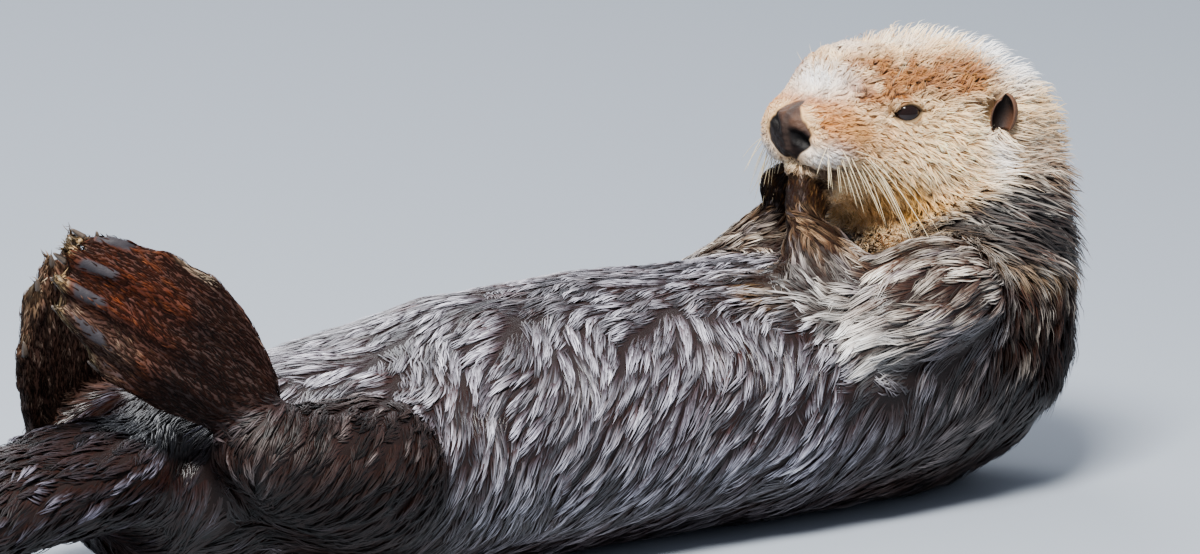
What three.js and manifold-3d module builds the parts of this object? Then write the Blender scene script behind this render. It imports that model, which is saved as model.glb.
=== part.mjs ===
// A sea otter at rest on its back: belly up, head raised and looking over its own chest, both
// forepaws held to the mouth, hind flippers lifted, tail laid out behind. Life size, in
// millimetres, +Z up. +X runs toward the head end, and the animal's left side faces -Y.
//
// The body is shaped whole, out to the tips of its coat, from swept and rounded forms, and is then
// parted by thin cuts into the lengths that a person would name.

import * as THREE from 'three';
import { mergeVertices } from 'three/addons/utils/BufferGeometryUtils.js';
import Module from 'manifold-3d';

const wasm = await Module();
wasm.setup();

// ---------------------------------------------------------------- driving dimensions

const GAP = 0.35; // clear width of each parting cut

const TRUNK_DEPTH = 80; // half the depth of the belly, spine to navel
const TRUNK_WIDTH = 110; // half the width across the ribs
const TRUNK_SIDES = 20;

const HEAD_TURN = THREE.MathUtils.degToRad(5); // the face turns a little toward its left side
const HEAD_PIVOT = new THREE.Vector3(300, 0, 0); // the neck's upright axis
const HEAD_LEVEL = 212; // height of the muzzle's axis
const SKULL_HALF_WIDTH = 67;
const CROWN_RISE = 59; // muzzle axis to the top of the crown
const JAW_DROP = 62; // muzzle axis to the fluff under the jaw
const MUZZLE_REACH = 141; // neck axis to the front of the lips

const EYE_RADIUS = 9.5;
const EYE_PLACE = { forward: 73.5, aside: 36.5, height: 232 };
const EAR_HEIGHT = 27;
const EAR_PLACE = { forward: 16, aside: 60.5, height: 226 };
const NOSE_HALF_WIDTH = 17;
const NOSE_HALF_HEIGHT = 18;

const ARM_RADIUS = 44; // shoulder, with its loose skin
const PAW_HALF_WIDTH = 20;
const LEG_RADIUS = 54; // thigh
const FOOT_THICKNESS = 13; // half the flipper's depth at the instep
const TAIL_HALF_WIDTH = 50;

// ---------------------------------------------------------------- form makers

const vec = (x, y, z) => new THREE.Vector3(x, y, z);

/**
 * Closed BufferGeometry from rings of equal count. Its ends are shut by two pole points, or, with
 * no poles, by strips laced from each ring's first half across to its second half.
 */
function skinOver(rings, ...poles) {
  const count = rings[0].length;
  const points = [...rings.flat(), ...poles];
  const last = rings.length - 1;
  const index = [];
  const at = (ring, i) => ring * count + (i % count);
  for (let i = 0; i < count && poles.length > 0; i += 1) {
    index.push(points.length - 2, at(0, i + 1), at(0, i));
    index.push(points.length - 1, at(last, i), at(last, i + 1));
  }
  for (let i = 0; i < count / 2 - 1 && poles.length === 0; i += 1) {
    const [mate, next] = [count - 1 - i, count - 2 - i];
    index.push(at(0, i + 1), at(0, i), at(0, mate), at(0, i + 1), at(0, mate), at(0, next));
    index.push(at(last, i), at(last, i + 1), at(last, next), at(last, i), at(last, next), at(last, mate));
  }
  for (let ring = 0; ring < last; ring += 1) {
    for (let i = 0; i < count; i += 1) {
      index.push(at(ring, i), at(ring, i + 1), at(ring + 1, i + 1));
      index.push(at(ring, i), at(ring + 1, i + 1), at(ring + 1, i));
    }
  }
  const geometry = new THREE.BufferGeometry().setFromPoints(points);
  geometry.setIndex(index);
  return geometry;
}

/** Unit vector of an angle's cosine or sine raised so that the ring turns from oval to squarish. */
const squared = (value, power) => Math.sign(value) * Math.abs(value) ** (2 / power);

/**
 * A body length swept along a smooth line. Each station is [x, y, z, side, belly, back]: a centre,
 * the half width, and the half depths toward the belly and the back. Both ends are domes whose
 * lengths are given, and grow swells the whole form evenly.
 */
function sweep(stations, { across = vec(0, 1, 0), rings = 12, sides = 16, domes, power = 2, grow = 0 }) {
  const line = new THREE.CatmullRomCurve3(stations.map(([x, y, z]) => vec(x, y, z)), false, 'centripetal');
  const sizes = stations.map(([, , , wide, toBelly, toBack]) => vec(wide, toBelly, toBack));
  const girth = new THREE.CatmullRomCurve3(sizes, false, 'catmullrom', 0.5);
  const length = line.getLength();
  const ringList = [];
  for (let ring = 1; ring < rings; ring += 1) {
    const along = 0.5 - 0.5 * Math.cos((Math.PI * ring) / rings);
    const u = 0.5 * along + (0.5 * ring) / rings;
    const centre = line.getPoint(u);
    const ahead = line.getTangent(u);
    const side = across.clone().addScaledVector(ahead, -across.dot(ahead)).normalize();
    const belly = new THREE.Vector3().crossVectors(ahead, side);
    const travelled = lengthTo(line, u, length);
    const size = girth.getPoint(u);
    const dome = domeScale(travelled, domes[0]) * domeScale(length - travelled, domes[1]);
    const loop = [];
    for (let i = 0; i < sides; i += 1) {
      const angle = (2 * Math.PI * i) / sides;
      const c = squared(Math.cos(angle), power);
      const s = squared(Math.sin(angle), power);
      const depth = s > 0 ? size.y : size.z;
      const point = centre.clone();
      point.addScaledVector(side, c * size.x * dome + Math.cos(angle) * grow);
      point.addScaledVector(belly, s * depth * dome + Math.sin(angle) * grow);
      loop.push(point);
    }
    ringList.push(loop);
  }
  const startPole = line.getPoint(0).addScaledVector(line.getTangent(0), -grow);
  const endPole = line.getPoint(1).addScaledVector(line.getTangent(1), grow);
  return solid(skinOver(ringList, startPole, endPole));
}

/** Distance along a curve to its parameter u, from the curve's own table of lengths. */
function lengthTo(line, u, length) {
  const table = line.getLengths(200);
  const place = u * 200;
  const low = Math.min(Math.floor(place), 199);
  const total = table[200];
  return ((table[low] + (table[low + 1] - table[low]) * (place - low)) / total) * length;
}

/** Quarter ellipse: 0 at the end of a form, 1 once the dome's length is passed. */
function domeScale(distance, domeLength) {
  const short = Math.max(0, 1 - distance / domeLength);
  return Math.sqrt(Math.max(0, 1 - short * short));
}

/** Manifold solid of a closed geometry, its shared vertices merged and its faces turned outward. */
function solid(geometry) {
  const bare = new THREE.BufferGeometry();
  bare.setAttribute('position', geometry.getAttribute('position'));
  if (geometry.index) bare.setIndex(geometry.index);
  const merged = mergeVertices(bare, 1e-3);
  const points = merged.getAttribute('position').array;
  const triVerts = [];
  for (let i = 0; i < merged.index.count; i += 3) {
    const [a, b, c] = [0, 1, 2].map((k) => merged.index.getX(i + k));
    if (a !== b && b !== c && c !== a) triVerts.push(a, b, c);
  }
  const mesh = { numProp: 3, vertProperties: new Float32Array(points), triVerts: new Uint32Array(triVerts) };
  const made = new wasm.Manifold(new wasm.Mesh(mesh));
  return made.volume() > 0 ? made : solid(turnedInsideOut(merged));
}

/** The same closed surface with every triangle wound the other way. */
function turnedInsideOut(geometry) {
  const index = Array.from(geometry.index.array);
  for (let i = 0; i < index.length; i += 3) [index[i], index[i + 1]] = [index[i + 1], index[i]];
  geometry.setIndex(index);
  return geometry;
}

/** Rounded lump: a sphere scaled to three radii, set at a place and turned by Euler angles. */
function lump(place, radii, { grow = 0, turn = [0, 0, 0], around = 10, high = 6 } = {}) {
  const geometry = new THREE.SphereGeometry(1, around, high);
  geometry.rotateX(Math.PI / 2);
  geometry.scale(radii[0] + grow, radii[1] + grow, radii[2] + grow);
  geometry.rotateX(turn[0]).rotateY(turn[1]).rotateZ(turn[2]);
  geometry.translate(...place);
  return solid(geometry);
}

/** Everything on the side of a plane that its normal points to, as a large block. */
function halfSpace(point, normal) {
  const reach = 3000;
  const block = new THREE.BoxGeometry(reach, reach, reach);
  block.translate(0, 0, reach / 2);
  const turn = new THREE.Quaternion().setFromUnitVectors(vec(0, 0, 1), normal.clone().normalize());
  block.applyQuaternion(turn);
  block.translate(point.x, point.y, point.z);
  return solid(block);
}

/** Parts a solid by a plane into [behind, ahead], each drawn back by half the cut's width. */
function part(whole, point, normal) {
  const unit = normal.clone().normalize();
  const fore = point.clone().addScaledVector(unit, GAP / 2);
  const aft = point.clone().addScaledVector(unit, -GAP / 2);
  return [whole.intersect(halfSpace(aft, unit.clone().negate())), whole.intersect(halfSpace(fore, unit))];
}

const joined = (forms) => forms.reduce((sum, form) => sum.add(form));
const without = (form, cutters) => cutters.reduce((rest, cutter) => rest.subtract(cutter), form);

// ---------------------------------------------------------------- trunk, neck and tail

/** Rump to nape in one sweep; the line turns from level to upright between the shoulders. */
function torsoForm(grow) {
  const deep = TRUNK_DEPTH;
  const wide = TRUNK_WIDTH;
  const stations = [
    [-362, -4, 90, 0.52 * wide, 0.5 * deep, 0.55 * deep],
    [-310, -2, 78, 0.74 * wide, 0.68 * deep, 0.76 * deep],
    [-245, 0, 71, 0.9 * wide, 0.78 * deep, 0.95 * deep],
    [-150, 0, 73, 0.95 * wide, 0.87 * deep, deep],
    [-55, 0, 78, 0.97 * wide, 0.98 * deep, 1.04 * deep],
    [45, 0, 77, 1.03 * wide, 0.97 * deep, 1.03 * deep],
    [135, 0, 79, 1.08 * wide, 0.9 * deep, 1.06 * deep],
    [215, 0, 92, 1.06 * wide, 0.72 * deep, 1.26 * deep],
    [274, 0, 116, 0.98 * wide, 0.78 * deep, 1.42 * deep],
    [303, 0, 165, 0.79 * wide, 0.8 * deep, 0.8 * deep],
    [300, 0, 215, 0.62 * wide, 0.62 * deep, 0.72 * deep],
  ];
  return sweep(stations, { rings: 22, sides: TRUNK_SIDES, domes: [46, 30], power: 2.15, grow });
}

/** Thick, flattened tail: level behind the rump, then sinking until its far end lies down. */
function tailForm(grow) {
  const wide = TAIL_HALF_WIDTH;
  const thick = 0.68 * TAIL_HALF_WIDTH;
  const stations = [
    [-318, -4, 88, 1.1 * wide, 1.1 * thick, 1.1 * thick],
    [-372, -20, 89, 1.08 * wide, 1.06 * thick, 1.08 * thick],
    [-432, -37, 88, wide, thick, thick],
    [-505, -49, 76, 0.92 * wide, 0.92 * thick, 0.92 * thick],
    [-585, -58, 44, 0.8 * wide, 0.78 * thick, 0.78 * thick],
    [-655, -66, 19, 0.66 * wide, 0.62 * thick, 0.62 * thick],
    [-716, -74, 12, 0.44 * wide, 0.42 * thick, 0.42 * thick],
  ];
  return sweep(stations, { across: vec(0, -1, 0), rings: 13, sides: 12, domes: [30, 34], grow });
}

// ---------------------------------------------------------------- head

/** Puts a form made about the neck's axis, face toward -X, into the head's turned place. */
function onHead(form) {
  const turn = new THREE.Matrix4().makeRotationZ(HEAD_TURN);
  turn.setPosition(HEAD_PIVOT);
  return form.transform(turn.toArray());
}

/** Skull, cheeks and muzzle as one sweep from lips to nape, with the two whisker pads added. */
function skullForm(grow) {
  const wide = SKULL_HALF_WIDTH;
  const level = HEAD_LEVEL;
  const stations = [
    [-MUZZLE_REACH, 0, level + 11, 0.28 * wide, 0.26 * CROWN_RISE, 0.26 * JAW_DROP],
    [-131, 0, level + 11, 0.4 * wide, 0.4 * CROWN_RISE, 0.36 * JAW_DROP],
    [-116, 0, level + 9, 0.52 * wide, 0.64 * CROWN_RISE, 0.42 * JAW_DROP],
    [-101, 0, level + 7, 0.59 * wide, 0.85 * CROWN_RISE, 0.5 * JAW_DROP],
    [-83, 0, level + 5, 0.69 * wide, CROWN_RISE, 0.74 * JAW_DROP],
    [-60, 0, level + 2, 0.84 * wide, 1.03 * CROWN_RISE, 0.95 * JAW_DROP],
    [-34, 0, level, 0.96 * wide, CROWN_RISE + 1, JAW_DROP],
    [-8, 0, level - 3, wide + 1, 0.97 * CROWN_RISE, 0.95 * JAW_DROP],
    [24, 0, level - 9, 0.93 * wide, 0.76 * CROWN_RISE, 0.85 * JAW_DROP],
    [58, 0, level - 21, 0.76 * wide, 0.38 * CROWN_RISE, 0.7 * JAW_DROP],
  ];
  const skull = sweep(stations, { rings: 15, sides: 18, domes: [13, 34], power: 2.15, grow });
  const pads = [-1, 1].map((side) => {
    const turn = [0, 0.12, side * 0.3];
    return lump([-111, side * 18, level + 3], [23, 21, 18], { grow, turn, around: 8, high: 5 });
  });
  return joined([skull, ...pads]);
}

/** Rounded lower jaw under the whisker pads. */
const jawForm = (grow) =>
  lump([-90, 0, HEAD_LEVEL - 21], [31, 25, 15], { grow, turn: [0, -0.32, 0], around: 10, high: 6 });

/** Eyeball, left (-1) or right (+1). */
function eyeForm(side, grow) {
  const { forward, aside, height } = EYE_PLACE;
  const radii = [EYE_RADIUS, EYE_RADIUS, EYE_RADIUS];
  return lump([-forward, side * aside, height], radii, { grow, around: 12, high: 6 });
}

/** The opening of lids and short fur through which the eyeball shows. */
function eyeHollow(side) {
  const { forward, aside, height } = EYE_PLACE;
  const out = EYE_RADIUS - 0.5;
  const turn = [0, 0.1, side * 0.9];
  return lump([-forward - 4, side * (aside + out), height], [9.5, 6.5, 6.5], { turn, around: 8, high: 5 });
}

/** Small curled ear: a standing oval scooped out toward the front. */
function earForm(side, grow) {
  const { forward, aside, height } = EAR_PLACE;
  const tall = EAR_HEIGHT / 2;
  const turn = [side * -0.12, -0.12, side * -0.35];
  const shell = lump([-forward, side * aside, height], [8.5, 10, tall], { grow, turn, around: 8, high: 6 });
  if (grow > 0) return shell;
  const opening = [-forward - 6, side * (aside + 5), height];
  return shell.subtract(lump(opening, [8, 7, 0.72 * tall], { turn, around: 8, high: 5 }));
}

/** Bare nose pad, wide above and narrow at the lip, with its two nostrils. */
function noseForm(grow) {
  const front = -MUZZLE_REACH + 9;
  const height = HEAD_LEVEL + 14;
  const tall = 0.72 * NOSE_HALF_HEIGHT;
  const upper = lump([front, 0, height + 2], [11, NOSE_HALF_WIDTH, tall], { grow, around: 10, high: 5 });
  const narrow = [10, 0.55 * NOSE_HALF_WIDTH, tall];
  const lower = lump([front + 1, 0, height - 6], narrow, { grow, around: 8, high: 5 });
  const pad = upper.add(lower);
  if (grow > 0) return pad;
  const nostrils = [-1, 1].map((side) => {
    const turn = [side * 0.5, 0, 0];
    return lump([front - 10, side * 8.5, height - 3], [5, 4.5, 3.4], { turn, around: 8, high: 6 });
  });
  return without(pad, nostrils);
}

// ---------------------------------------------------------------- forelimbs

/** Lines of one arm, shoulder to fingertips; the two arms fold in their own ways. */
const ARMS = {
  left: {
    side: -1,
    upper: [[268, -70, 118, 1], [212, -82, 124, 1], [172, -88, 122, 0.88], [140, -82, 128, 0.62]],
    fore: [[172, -88, 121, 0.74], [158, -66, 140, 0.66], [159, -44, 158, 0.56], [166, -28, 171, 0.46]],
    paw: [[160, -34, 165], [172, -20, 176], [183, -9, 184], [192, -2, 190]],
  },
  right: {
    side: 1,
    upper: [[268, 70, 112, 1], [212, 78, 106, 0.96], [172, 79, 101, 0.8], [146, 72, 103, 0.58]],
    fore: [[170, 76, 104, 0.68], [186, 61, 126, 0.6], [200, 46, 149, 0.52], [204, 36, 166, 0.45]],
    paw: [[204, 38, 164], [202, 30, 176], [197, 22, 186], [190, 15, 194]],
  },
};

/** A limb length of round section: each place carries its radius as a share of the root's. */
function limb(places, radius, options) {
  const stations = places.map(([x, y, z, share]) => [x, y, z, ...Array(3).fill(share * radius)]);
  return sweep(stations, options);
}

const upperArmForm = (arm, grow) =>
  limb(arm.upper, ARM_RADIUS, { across: vec(0, 0, 1), rings: 8, sides: 12, domes: [40, 26], grow });

const forearmForm = (arm, grow) =>
  limb(arm.fore, ARM_RADIUS, { across: vec(1, 0, 0), rings: 7, sides: 10, domes: [24, 14], grow });

/** Mitten-like forepaw, broader than it is deep, with four shallow grooves between the digits. */
function pawForm(arm, grow) {
  const wide = PAW_HALF_WIDTH;
  const sizes = [0.85, 1, 1.02, 0.8];
  const stations = arm.paw.map(([x, y, z], i) =>
    [x, y, z, sizes[i] * wide, 0.62 * sizes[i] * wide, 0.62 * sizes[i] * wide]);
  const across = vec(0.8, arm.side * -0.5, -0.3);
  return sweep(stations, { across, rings: 7, sides: 10, domes: [10, 12], grow });
}

// ---------------------------------------------------------------- hind limbs

/** Lines of one leg and the lie of its flipper: its root, toe direction and sole normal. */
const LEGS = {
  left: {
    side: -1,
    line: [
      [-178, -52, 72, 1], [-222, -84, 78, 0.98], [-270, -97, 92, 0.8], [-308, -94, 112, 0.62],
      [-322, -90, 128, 0.5],
    ],
    foot: { root: vec(-314, -90, 136), toes: vec(-0.667, 0.47, 0.58), sole: vec(-0.45, -0.87, 0.2) },
  },
  right: {
    side: 1,
    line: [
      [-178, 52, 70, 1], [-222, 80, 73, 0.96], [-270, 88, 76, 0.78], [-310, 82, 82, 0.6],
      [-330, 74, 90, 0.5],
    ],
    foot: { root: vec(-330, 66, 92), toes: vec(-0.25, -0.4, 0.88), sole: vec(-0.2, 0.88, 0.36) },
  },
};

const KNEE = 0.46; // share of the leg's line at which thigh becomes shank

const legForm = (leg, grow) =>
  limb(leg.line, LEG_RADIUS, { across: vec(0, 0, 1), rings: 10, sides: 12, domes: [44, 20], grow });

/**
 * Rays of the flipper in its own plane, inner toe first: [along the toes, toward the outer toe].
 * Each runs instep, ball, knuckle, tip, and the two outer toes are the longest.
 */
const TOE_RAYS = [
  [[-14, -18], [14, -24], [46, -31], [88, -30]],
  [[-14, -7], [24, -11], [72, -17], [124, -16]],
  [[-14, 3], [26, 6], [78, 3], [134, -3]],
  [[-14, 13], [24, 24], [76, 25], [140, 10]],
  [[-14, 22], [16, 42], [66, 53], [138, 28]],
];
const TOE_COUNT = TOE_RAYS.length;

/** Place on the flipper's middle sheet: along 0 to 1 from instep to toe edge, over the toes 0 to 4. */
function onFlipper(rays, along, over) {
  const across = new THREE.CatmullRomCurve3(rays.map((ray) => ray.getPoint(along)));
  return across.getPoint(over / (TOE_COUNT - 1));
}

/**
 * Webbed hind foot as one closed glove. Five toe ridges swell from a thinner web, which is notched
 * between the toe ends, and the toe ends curl a little toward the sole.
 */
function flipperForm(leg, grow) {
  const { root, toes, sole } = leg.foot;
  const ahead = toes.clone().normalize();
  const out = sole.clone().addScaledVector(ahead, -sole.dot(ahead)).normalize();
  const outer = new THREE.Vector3().crossVectors(ahead, out).multiplyScalar(-leg.side);
  const rays = TOE_RAYS.map((ray) => new THREE.CatmullRomCurve3(ray.map(([a, b]) => vec(a, b, 0))));
  const rings = 7;
  const steps = 3 * (TOE_COUNT - 1);
  const loops = [];
  for (let ring = 0; ring <= rings; ring += 1) {
    const reach = Math.sin((0.5 * Math.PI * ring) / rings) ** 1.15;
    const faces = [[], []];
    for (let step = 0; step <= steps; step += 1) {
      const over = (step / steps) * (TOE_COUNT - 1);
      const ridge = 0.5 + 0.5 * Math.cos(2 * Math.PI * over);
      const edge = Math.sqrt(Math.max(0.12, 1 - (Math.abs(2 * over / (TOE_COUNT - 1) - 1)) ** 6));
      const notch = 1 - 0.07 * (1 - ridge) * reach ** 4;
      const flat = onFlipper(rays, reach * notch, over);
      const thin = 1 - 0.42 * reach;
      const tip = Math.sqrt(Math.max(0.03, 1 - reach ** 10));
      const depth = FOOT_THICKNESS * thin * tip * edge * (0.72 + 0.28 * ridge);
      const curl = 9 * reach ** 2 - 7 * (2 * over / (TOE_COUNT - 1) - 1) ** 2;
      const middle = root.clone().addScaledVector(ahead, flat.x).addScaledVector(outer, flat.y);
      middle.addScaledVector(out, curl);
      faces[0].push(middle.clone().addScaledVector(out, depth + grow));
      faces[1].unshift(middle.clone().addScaledVector(out, -depth - grow));
    }
    loops.push([...faces[0], ...faces[1]]);
  }
  return solid(skinOver(loops));
}

/** Short claw at the end of one toe of the flipper. */
function clawForm(leg, toe, grow) {
  const { root, toes, sole } = leg.foot;
  const ahead = toes.clone().normalize();
  const out = sole.clone().addScaledVector(ahead, -sole.dot(ahead)).normalize();
  const outer = new THREE.Vector3().crossVectors(ahead, out).multiplyScalar(-leg.side);
  const [a, b] = TOE_RAYS[toe][3];
  const curl = 9 - 7 * (2 * toe / (TOE_COUNT - 1) - 1) ** 2;
  const tip = root.clone().addScaledVector(ahead, a - 1).addScaledVector(outer, b);
  tip.addScaledVector(out, curl - 3);
  const cone = new THREE.ConeGeometry(2.6 + grow, 9 + grow, 6);
  cone.applyQuaternion(new THREE.Quaternion().setFromUnitVectors(vec(0, 1, 0), ahead));
  cone.translate(tip.x, tip.y, tip.z);
  return solid(cone);
}

// ---------------------------------------------------------------- parting the body

const pieces = {}; // node name to solid

const sideNames = ['left', 'right'];
const armList = sideNames.map((name) => [name, ARMS[name]]);
const legList = sideNames.map((name) => [name, LEGS[name]]);

const limbCutters = [];
for (const [, arm] of armList) {
  limbCutters.push(upperArmForm(arm, GAP), forearmForm(arm, GAP), pawForm(arm, GAP));
}
for (const [, leg] of legList) limbCutters.push(legForm(leg, GAP), flipperForm(leg, GAP));

// The back and the tail's end are pressed flat where they lie: what would reach below z = 0 is cut.
const aboveFloor = halfSpace(vec(0, 0, 0), vec(0, 0, 1));
const trunk = without(torsoForm(0).add(tailForm(0)), limbCutters);
const body = trunk.add(onHead(skullForm(0))).intersect(aboveFloor);

const [behindChest, front] = part(body, vec(84, 0, 0), vec(1, 0, 0));
const [shoulders, headBlock] = part(front, vec(232, 0, 150), vec(0.13, 0, 1));
const headFleshGrown = onHead(joined([skullForm(GAP), jawForm(GAP), noseForm(GAP)]));
const headCutters = [jawForm(GAP), noseForm(GAP)];
for (const side of [-1, 1]) {
  headCutters.push(eyeForm(side, GAP), eyeHollow(side), earForm(side, GAP));
}
pieces.head = without(headBlock, headCutters.map(onHead));
pieces.lower_jaw = onHead(jawForm(0));
pieces.nose = onHead(noseForm(0));
for (const [name, side] of [['left', -1], ['right', 1]]) {
  pieces[`eye_${name}`] = onHead(eyeForm(side, 0));
  pieces[`ear_${name}`] = onHead(earForm(side, 0));
}

const [chest, neck] = part(shoulders, vec(261.3, 0, 96), vec(0.5, 0.01, 0.87));
const [behindBelly, belly] = part(behindChest, vec(-132, 0, 0), vec(1, 0, 0));
const [tail, hips] = part(behindBelly, vec(-362, 0, 0), vec(1, 0.2, 0));
Object.assign(pieces, { neck, chest, belly, hips });
const [tailEnd, tailRoot] = part(tail, vec(-478, 0, 0), vec(1, 0.15, 0.3));
const [tailTip, tailMiddle] = part(tailEnd, vec(-596, 0, 0), vec(1, 0.12, 0.3));
Object.assign(pieces, { tail_root: tailRoot, tail_middle: tailMiddle, tail_tip: tailTip });

for (const [name, arm] of armList) {
  const fore = forearmForm(arm, GAP);
  const paw = pawForm(arm, GAP);
  pieces[`upper_arm_${name}`] = without(upperArmForm(arm, 0), [fore, paw, headFleshGrown]);
  pieces[`forearm_${name}`] = without(forearmForm(arm, 0), [paw, headFleshGrown]);
  pieces[`forepaw_${name}`] = without(pawForm(arm, 0), [headFleshGrown]);
}
pieces.forepaw_right = pieces.forepaw_right.subtract(pawForm(ARMS.left, GAP));

for (const [name, leg] of legList) {
  const whole = legForm(leg, 0).subtract(flipperForm(leg, GAP));
  const line = new THREE.CatmullRomCurve3(leg.line.map(([x, y, z]) => vec(x, y, z)), false, 'centripetal');
  const [thigh, shank] = part(whole, line.getPoint(KNEE), line.getTangent(KNEE));
  pieces[`thigh_${name}`] = thigh;
  pieces[`shank_${name}`] = shank;
  const claws = [];
  for (let toe = 0; toe < TOE_COUNT; toe += 1) {
    pieces[`claw_${name}_${toe + 1}`] = clawForm(leg, toe, 0);
    claws.push(clawForm(leg, toe, GAP));
  }
  pieces[`hind_foot_${name}`] = without(flipperForm(leg, 0), claws);
}

// ---------------------------------------------------------------- colours and the finished group

const COAT = { head: '#e6d8c4', body: '#4a342a', limbs: '#3a2419', foot: '#5c2c18' };

/** Colour, roughness and metalness of a node, by its name. */
function finishOf(name) {
  if (name.startsWith('eye')) return { color: '#150d09', roughness: 0.08, metalness: 0 };
  if (name.startsWith('nose')) return { color: '#4b4345', roughness: 0.45, metalness: 0 };
  if (name.startsWith('claw')) return { color: '#2c2623', roughness: 0.4, metalness: 0 };
  if (/^(head|ear|lower_jaw)/.test(name)) return { color: COAT.head, roughness: 0.9, metalness: 0 };
  if (/^(hind_foot)/.test(name)) return { color: COAT.foot, roughness: 0.75, metalness: 0 };
  if (/^(fore|upper|thigh|shank)/.test(name)) return { color: COAT.limbs, roughness: 0.7, metalness: 0 };
  return { color: COAT.body, roughness: 0.65, metalness: 0 };
}

/** Mesh of one solid, with flat-shaded faces. */
function meshOf(name, form) {
  const { vertProperties, triVerts, numProp } = form.getMesh();
  const positions = new Float32Array((vertProperties.length / numProp) * 3);
  for (let i = 0; i < positions.length; i += 1) {
    positions[i] = vertProperties[Math.floor(i / 3) * numProp + (i % 3)];
  }
  const geometry = new THREE.BufferGeometry();
  geometry.setAttribute('position', new THREE.BufferAttribute(positions, 3));
  geometry.setIndex(new THREE.BufferAttribute(new Uint32Array(triVerts), 1));
  geometry.computeVertexNormals();
  const mesh = new THREE.Mesh(geometry, new THREE.MeshStandardMaterial(finishOf(name)));
  mesh.name = name;
  return mesh;
}

const otter = new THREE.Group();
for (const [name, form] of Object.entries(pieces)) otter.add(meshOf(name, form));

// The origin is the middle of the box round the animal, at the floor.
const box = new THREE.Box3().setFromObject(otter);
const middle = box.getCenter(vec(0, 0, 0));
otter.position.set(-middle.x, -middle.y, -box.min.z);

export default otter;
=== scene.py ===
"""A sea otter resting on its back, life size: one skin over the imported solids, a coat of mesh
tufts that lie along the body, eyes, claws and whiskers, on a pale floor in soft light."""

import math

import bmesh
import bpy
import numpy as np
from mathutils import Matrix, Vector
from mathutils.bvhtree import BVHTree
from mathutils.kdtree import KDTree


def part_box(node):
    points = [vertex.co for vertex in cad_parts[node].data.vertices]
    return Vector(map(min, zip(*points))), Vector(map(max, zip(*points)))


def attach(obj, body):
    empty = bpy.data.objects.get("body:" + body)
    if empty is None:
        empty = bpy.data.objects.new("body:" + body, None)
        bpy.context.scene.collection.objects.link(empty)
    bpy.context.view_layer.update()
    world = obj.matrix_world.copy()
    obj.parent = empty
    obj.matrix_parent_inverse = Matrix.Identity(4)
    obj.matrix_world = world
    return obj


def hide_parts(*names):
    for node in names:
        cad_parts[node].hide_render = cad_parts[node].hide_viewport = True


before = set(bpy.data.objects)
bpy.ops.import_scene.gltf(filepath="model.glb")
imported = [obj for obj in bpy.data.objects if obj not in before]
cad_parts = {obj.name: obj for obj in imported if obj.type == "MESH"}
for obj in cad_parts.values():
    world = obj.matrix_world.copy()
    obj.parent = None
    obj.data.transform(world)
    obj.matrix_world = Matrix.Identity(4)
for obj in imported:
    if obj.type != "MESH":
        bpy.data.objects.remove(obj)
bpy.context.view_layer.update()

# ------------------------------------------------------------------ skin: the rough body
# The solids of flesh are merged, swelled until their thin parting cuts close, and remeshed as one
# surface. Lengths are in metres; places named in millimetres are in the body's own frame.

MM = 0.001
PIVOT = np.array([300.0, 0.0, 0.0])  # the neck's upright axis
TURN = math.radians(5)  # of the face about that axis
EYE = {"left": (-73.5, -36.5, 232.0), "right": (-73.5, 36.5, 232.0)}  # in the head's frame
EYE_RADIUS = 9.5
FLESH = [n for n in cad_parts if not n.startswith(("claw", "eye", "ear"))]
FILLED = FLESH + ["eye_left", "eye_right"]  # the eyeballs fill their sockets under the skin


def off_head(local):
    """Place in the body's frame of a place in the head's: turned about the upright axis, moved."""
    local = np.atleast_2d(np.asarray(local, float))
    c, s = math.cos(TURN), math.sin(TURN)
    turned = np.column_stack([local[:, 0] * c - local[:, 1] * s, local[:, 0] * s + local[:, 1] * c,
                              local[:, 2]])
    return turned + PIVOT


low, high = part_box("eye_left")
SHIFT = (np.array(low) + np.array(high)) / 2 / MM - off_head(EYE["left"])[0]


def in_body(points):
    """Millimetres in the body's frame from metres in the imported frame."""
    return np.asarray(points) / MM - SHIFT


def in_head(points):
    """Forward, aside (left negative) and height in the head's frame, from the body's frame."""
    x, y = points[:, 0] - PIVOT[0], points[:, 1] - PIVOT[1]
    c, s = math.cos(TURN), math.sin(TURN)
    return np.column_stack([-(x * c + y * s), y * c - x * s, points[:, 2]])


def corners(mesh):
    """Vertex places and triangles of a mesh, as arrays."""
    mesh.calc_loop_triangles()
    places = np.empty(len(mesh.vertices) * 3)
    mesh.vertices.foreach_get("co", places)
    tris = np.empty(len(mesh.loop_triangles) * 3, np.int64)
    mesh.loop_triangles.foreach_get("vertices", tris)
    return places.reshape(-1, 3), tris.reshape(-1, 3)


def normals_of(places, tris):
    """Unit vertex normals: the sum of the cross products of the triangles at each vertex."""
    a, b, c = places[tris[:, 0]], places[tris[:, 1]], places[tris[:, 2]]
    cross = np.cross(b - a, c - a)
    total = np.zeros_like(places)
    for corner in range(3):
        for axis in range(3):
            total[:, axis] += np.bincount(tris[:, corner], cross[:, axis], len(places))
    return total / np.maximum(np.linalg.norm(total, axis=1, keepdims=True), 1e-12)


def edges_of(tris):
    """Each edge of a triangle mesh once, as pairs of vertex numbers."""
    pairs = np.sort(np.vstack([tris[:, [0, 1]], tris[:, [1, 2]], tris[:, [2, 0]]]), axis=1)
    return np.unique(pairs, axis=0)


def averaged(values, edges):
    """Mean of the values at each vertex's neighbours."""
    values = values if values.ndim == 2 else values[:, None]
    count = len(values)
    near = np.bincount(edges.ravel(), minlength=count)[:, None]
    total = np.zeros_like(values)
    for axis in range(values.shape[1]):
        total[:, axis] = (np.bincount(edges[:, 0], values[edges[:, 1], axis], count)
                          + np.bincount(edges[:, 1], values[edges[:, 0], axis], count))
    return total / np.maximum(near, 1)


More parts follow.
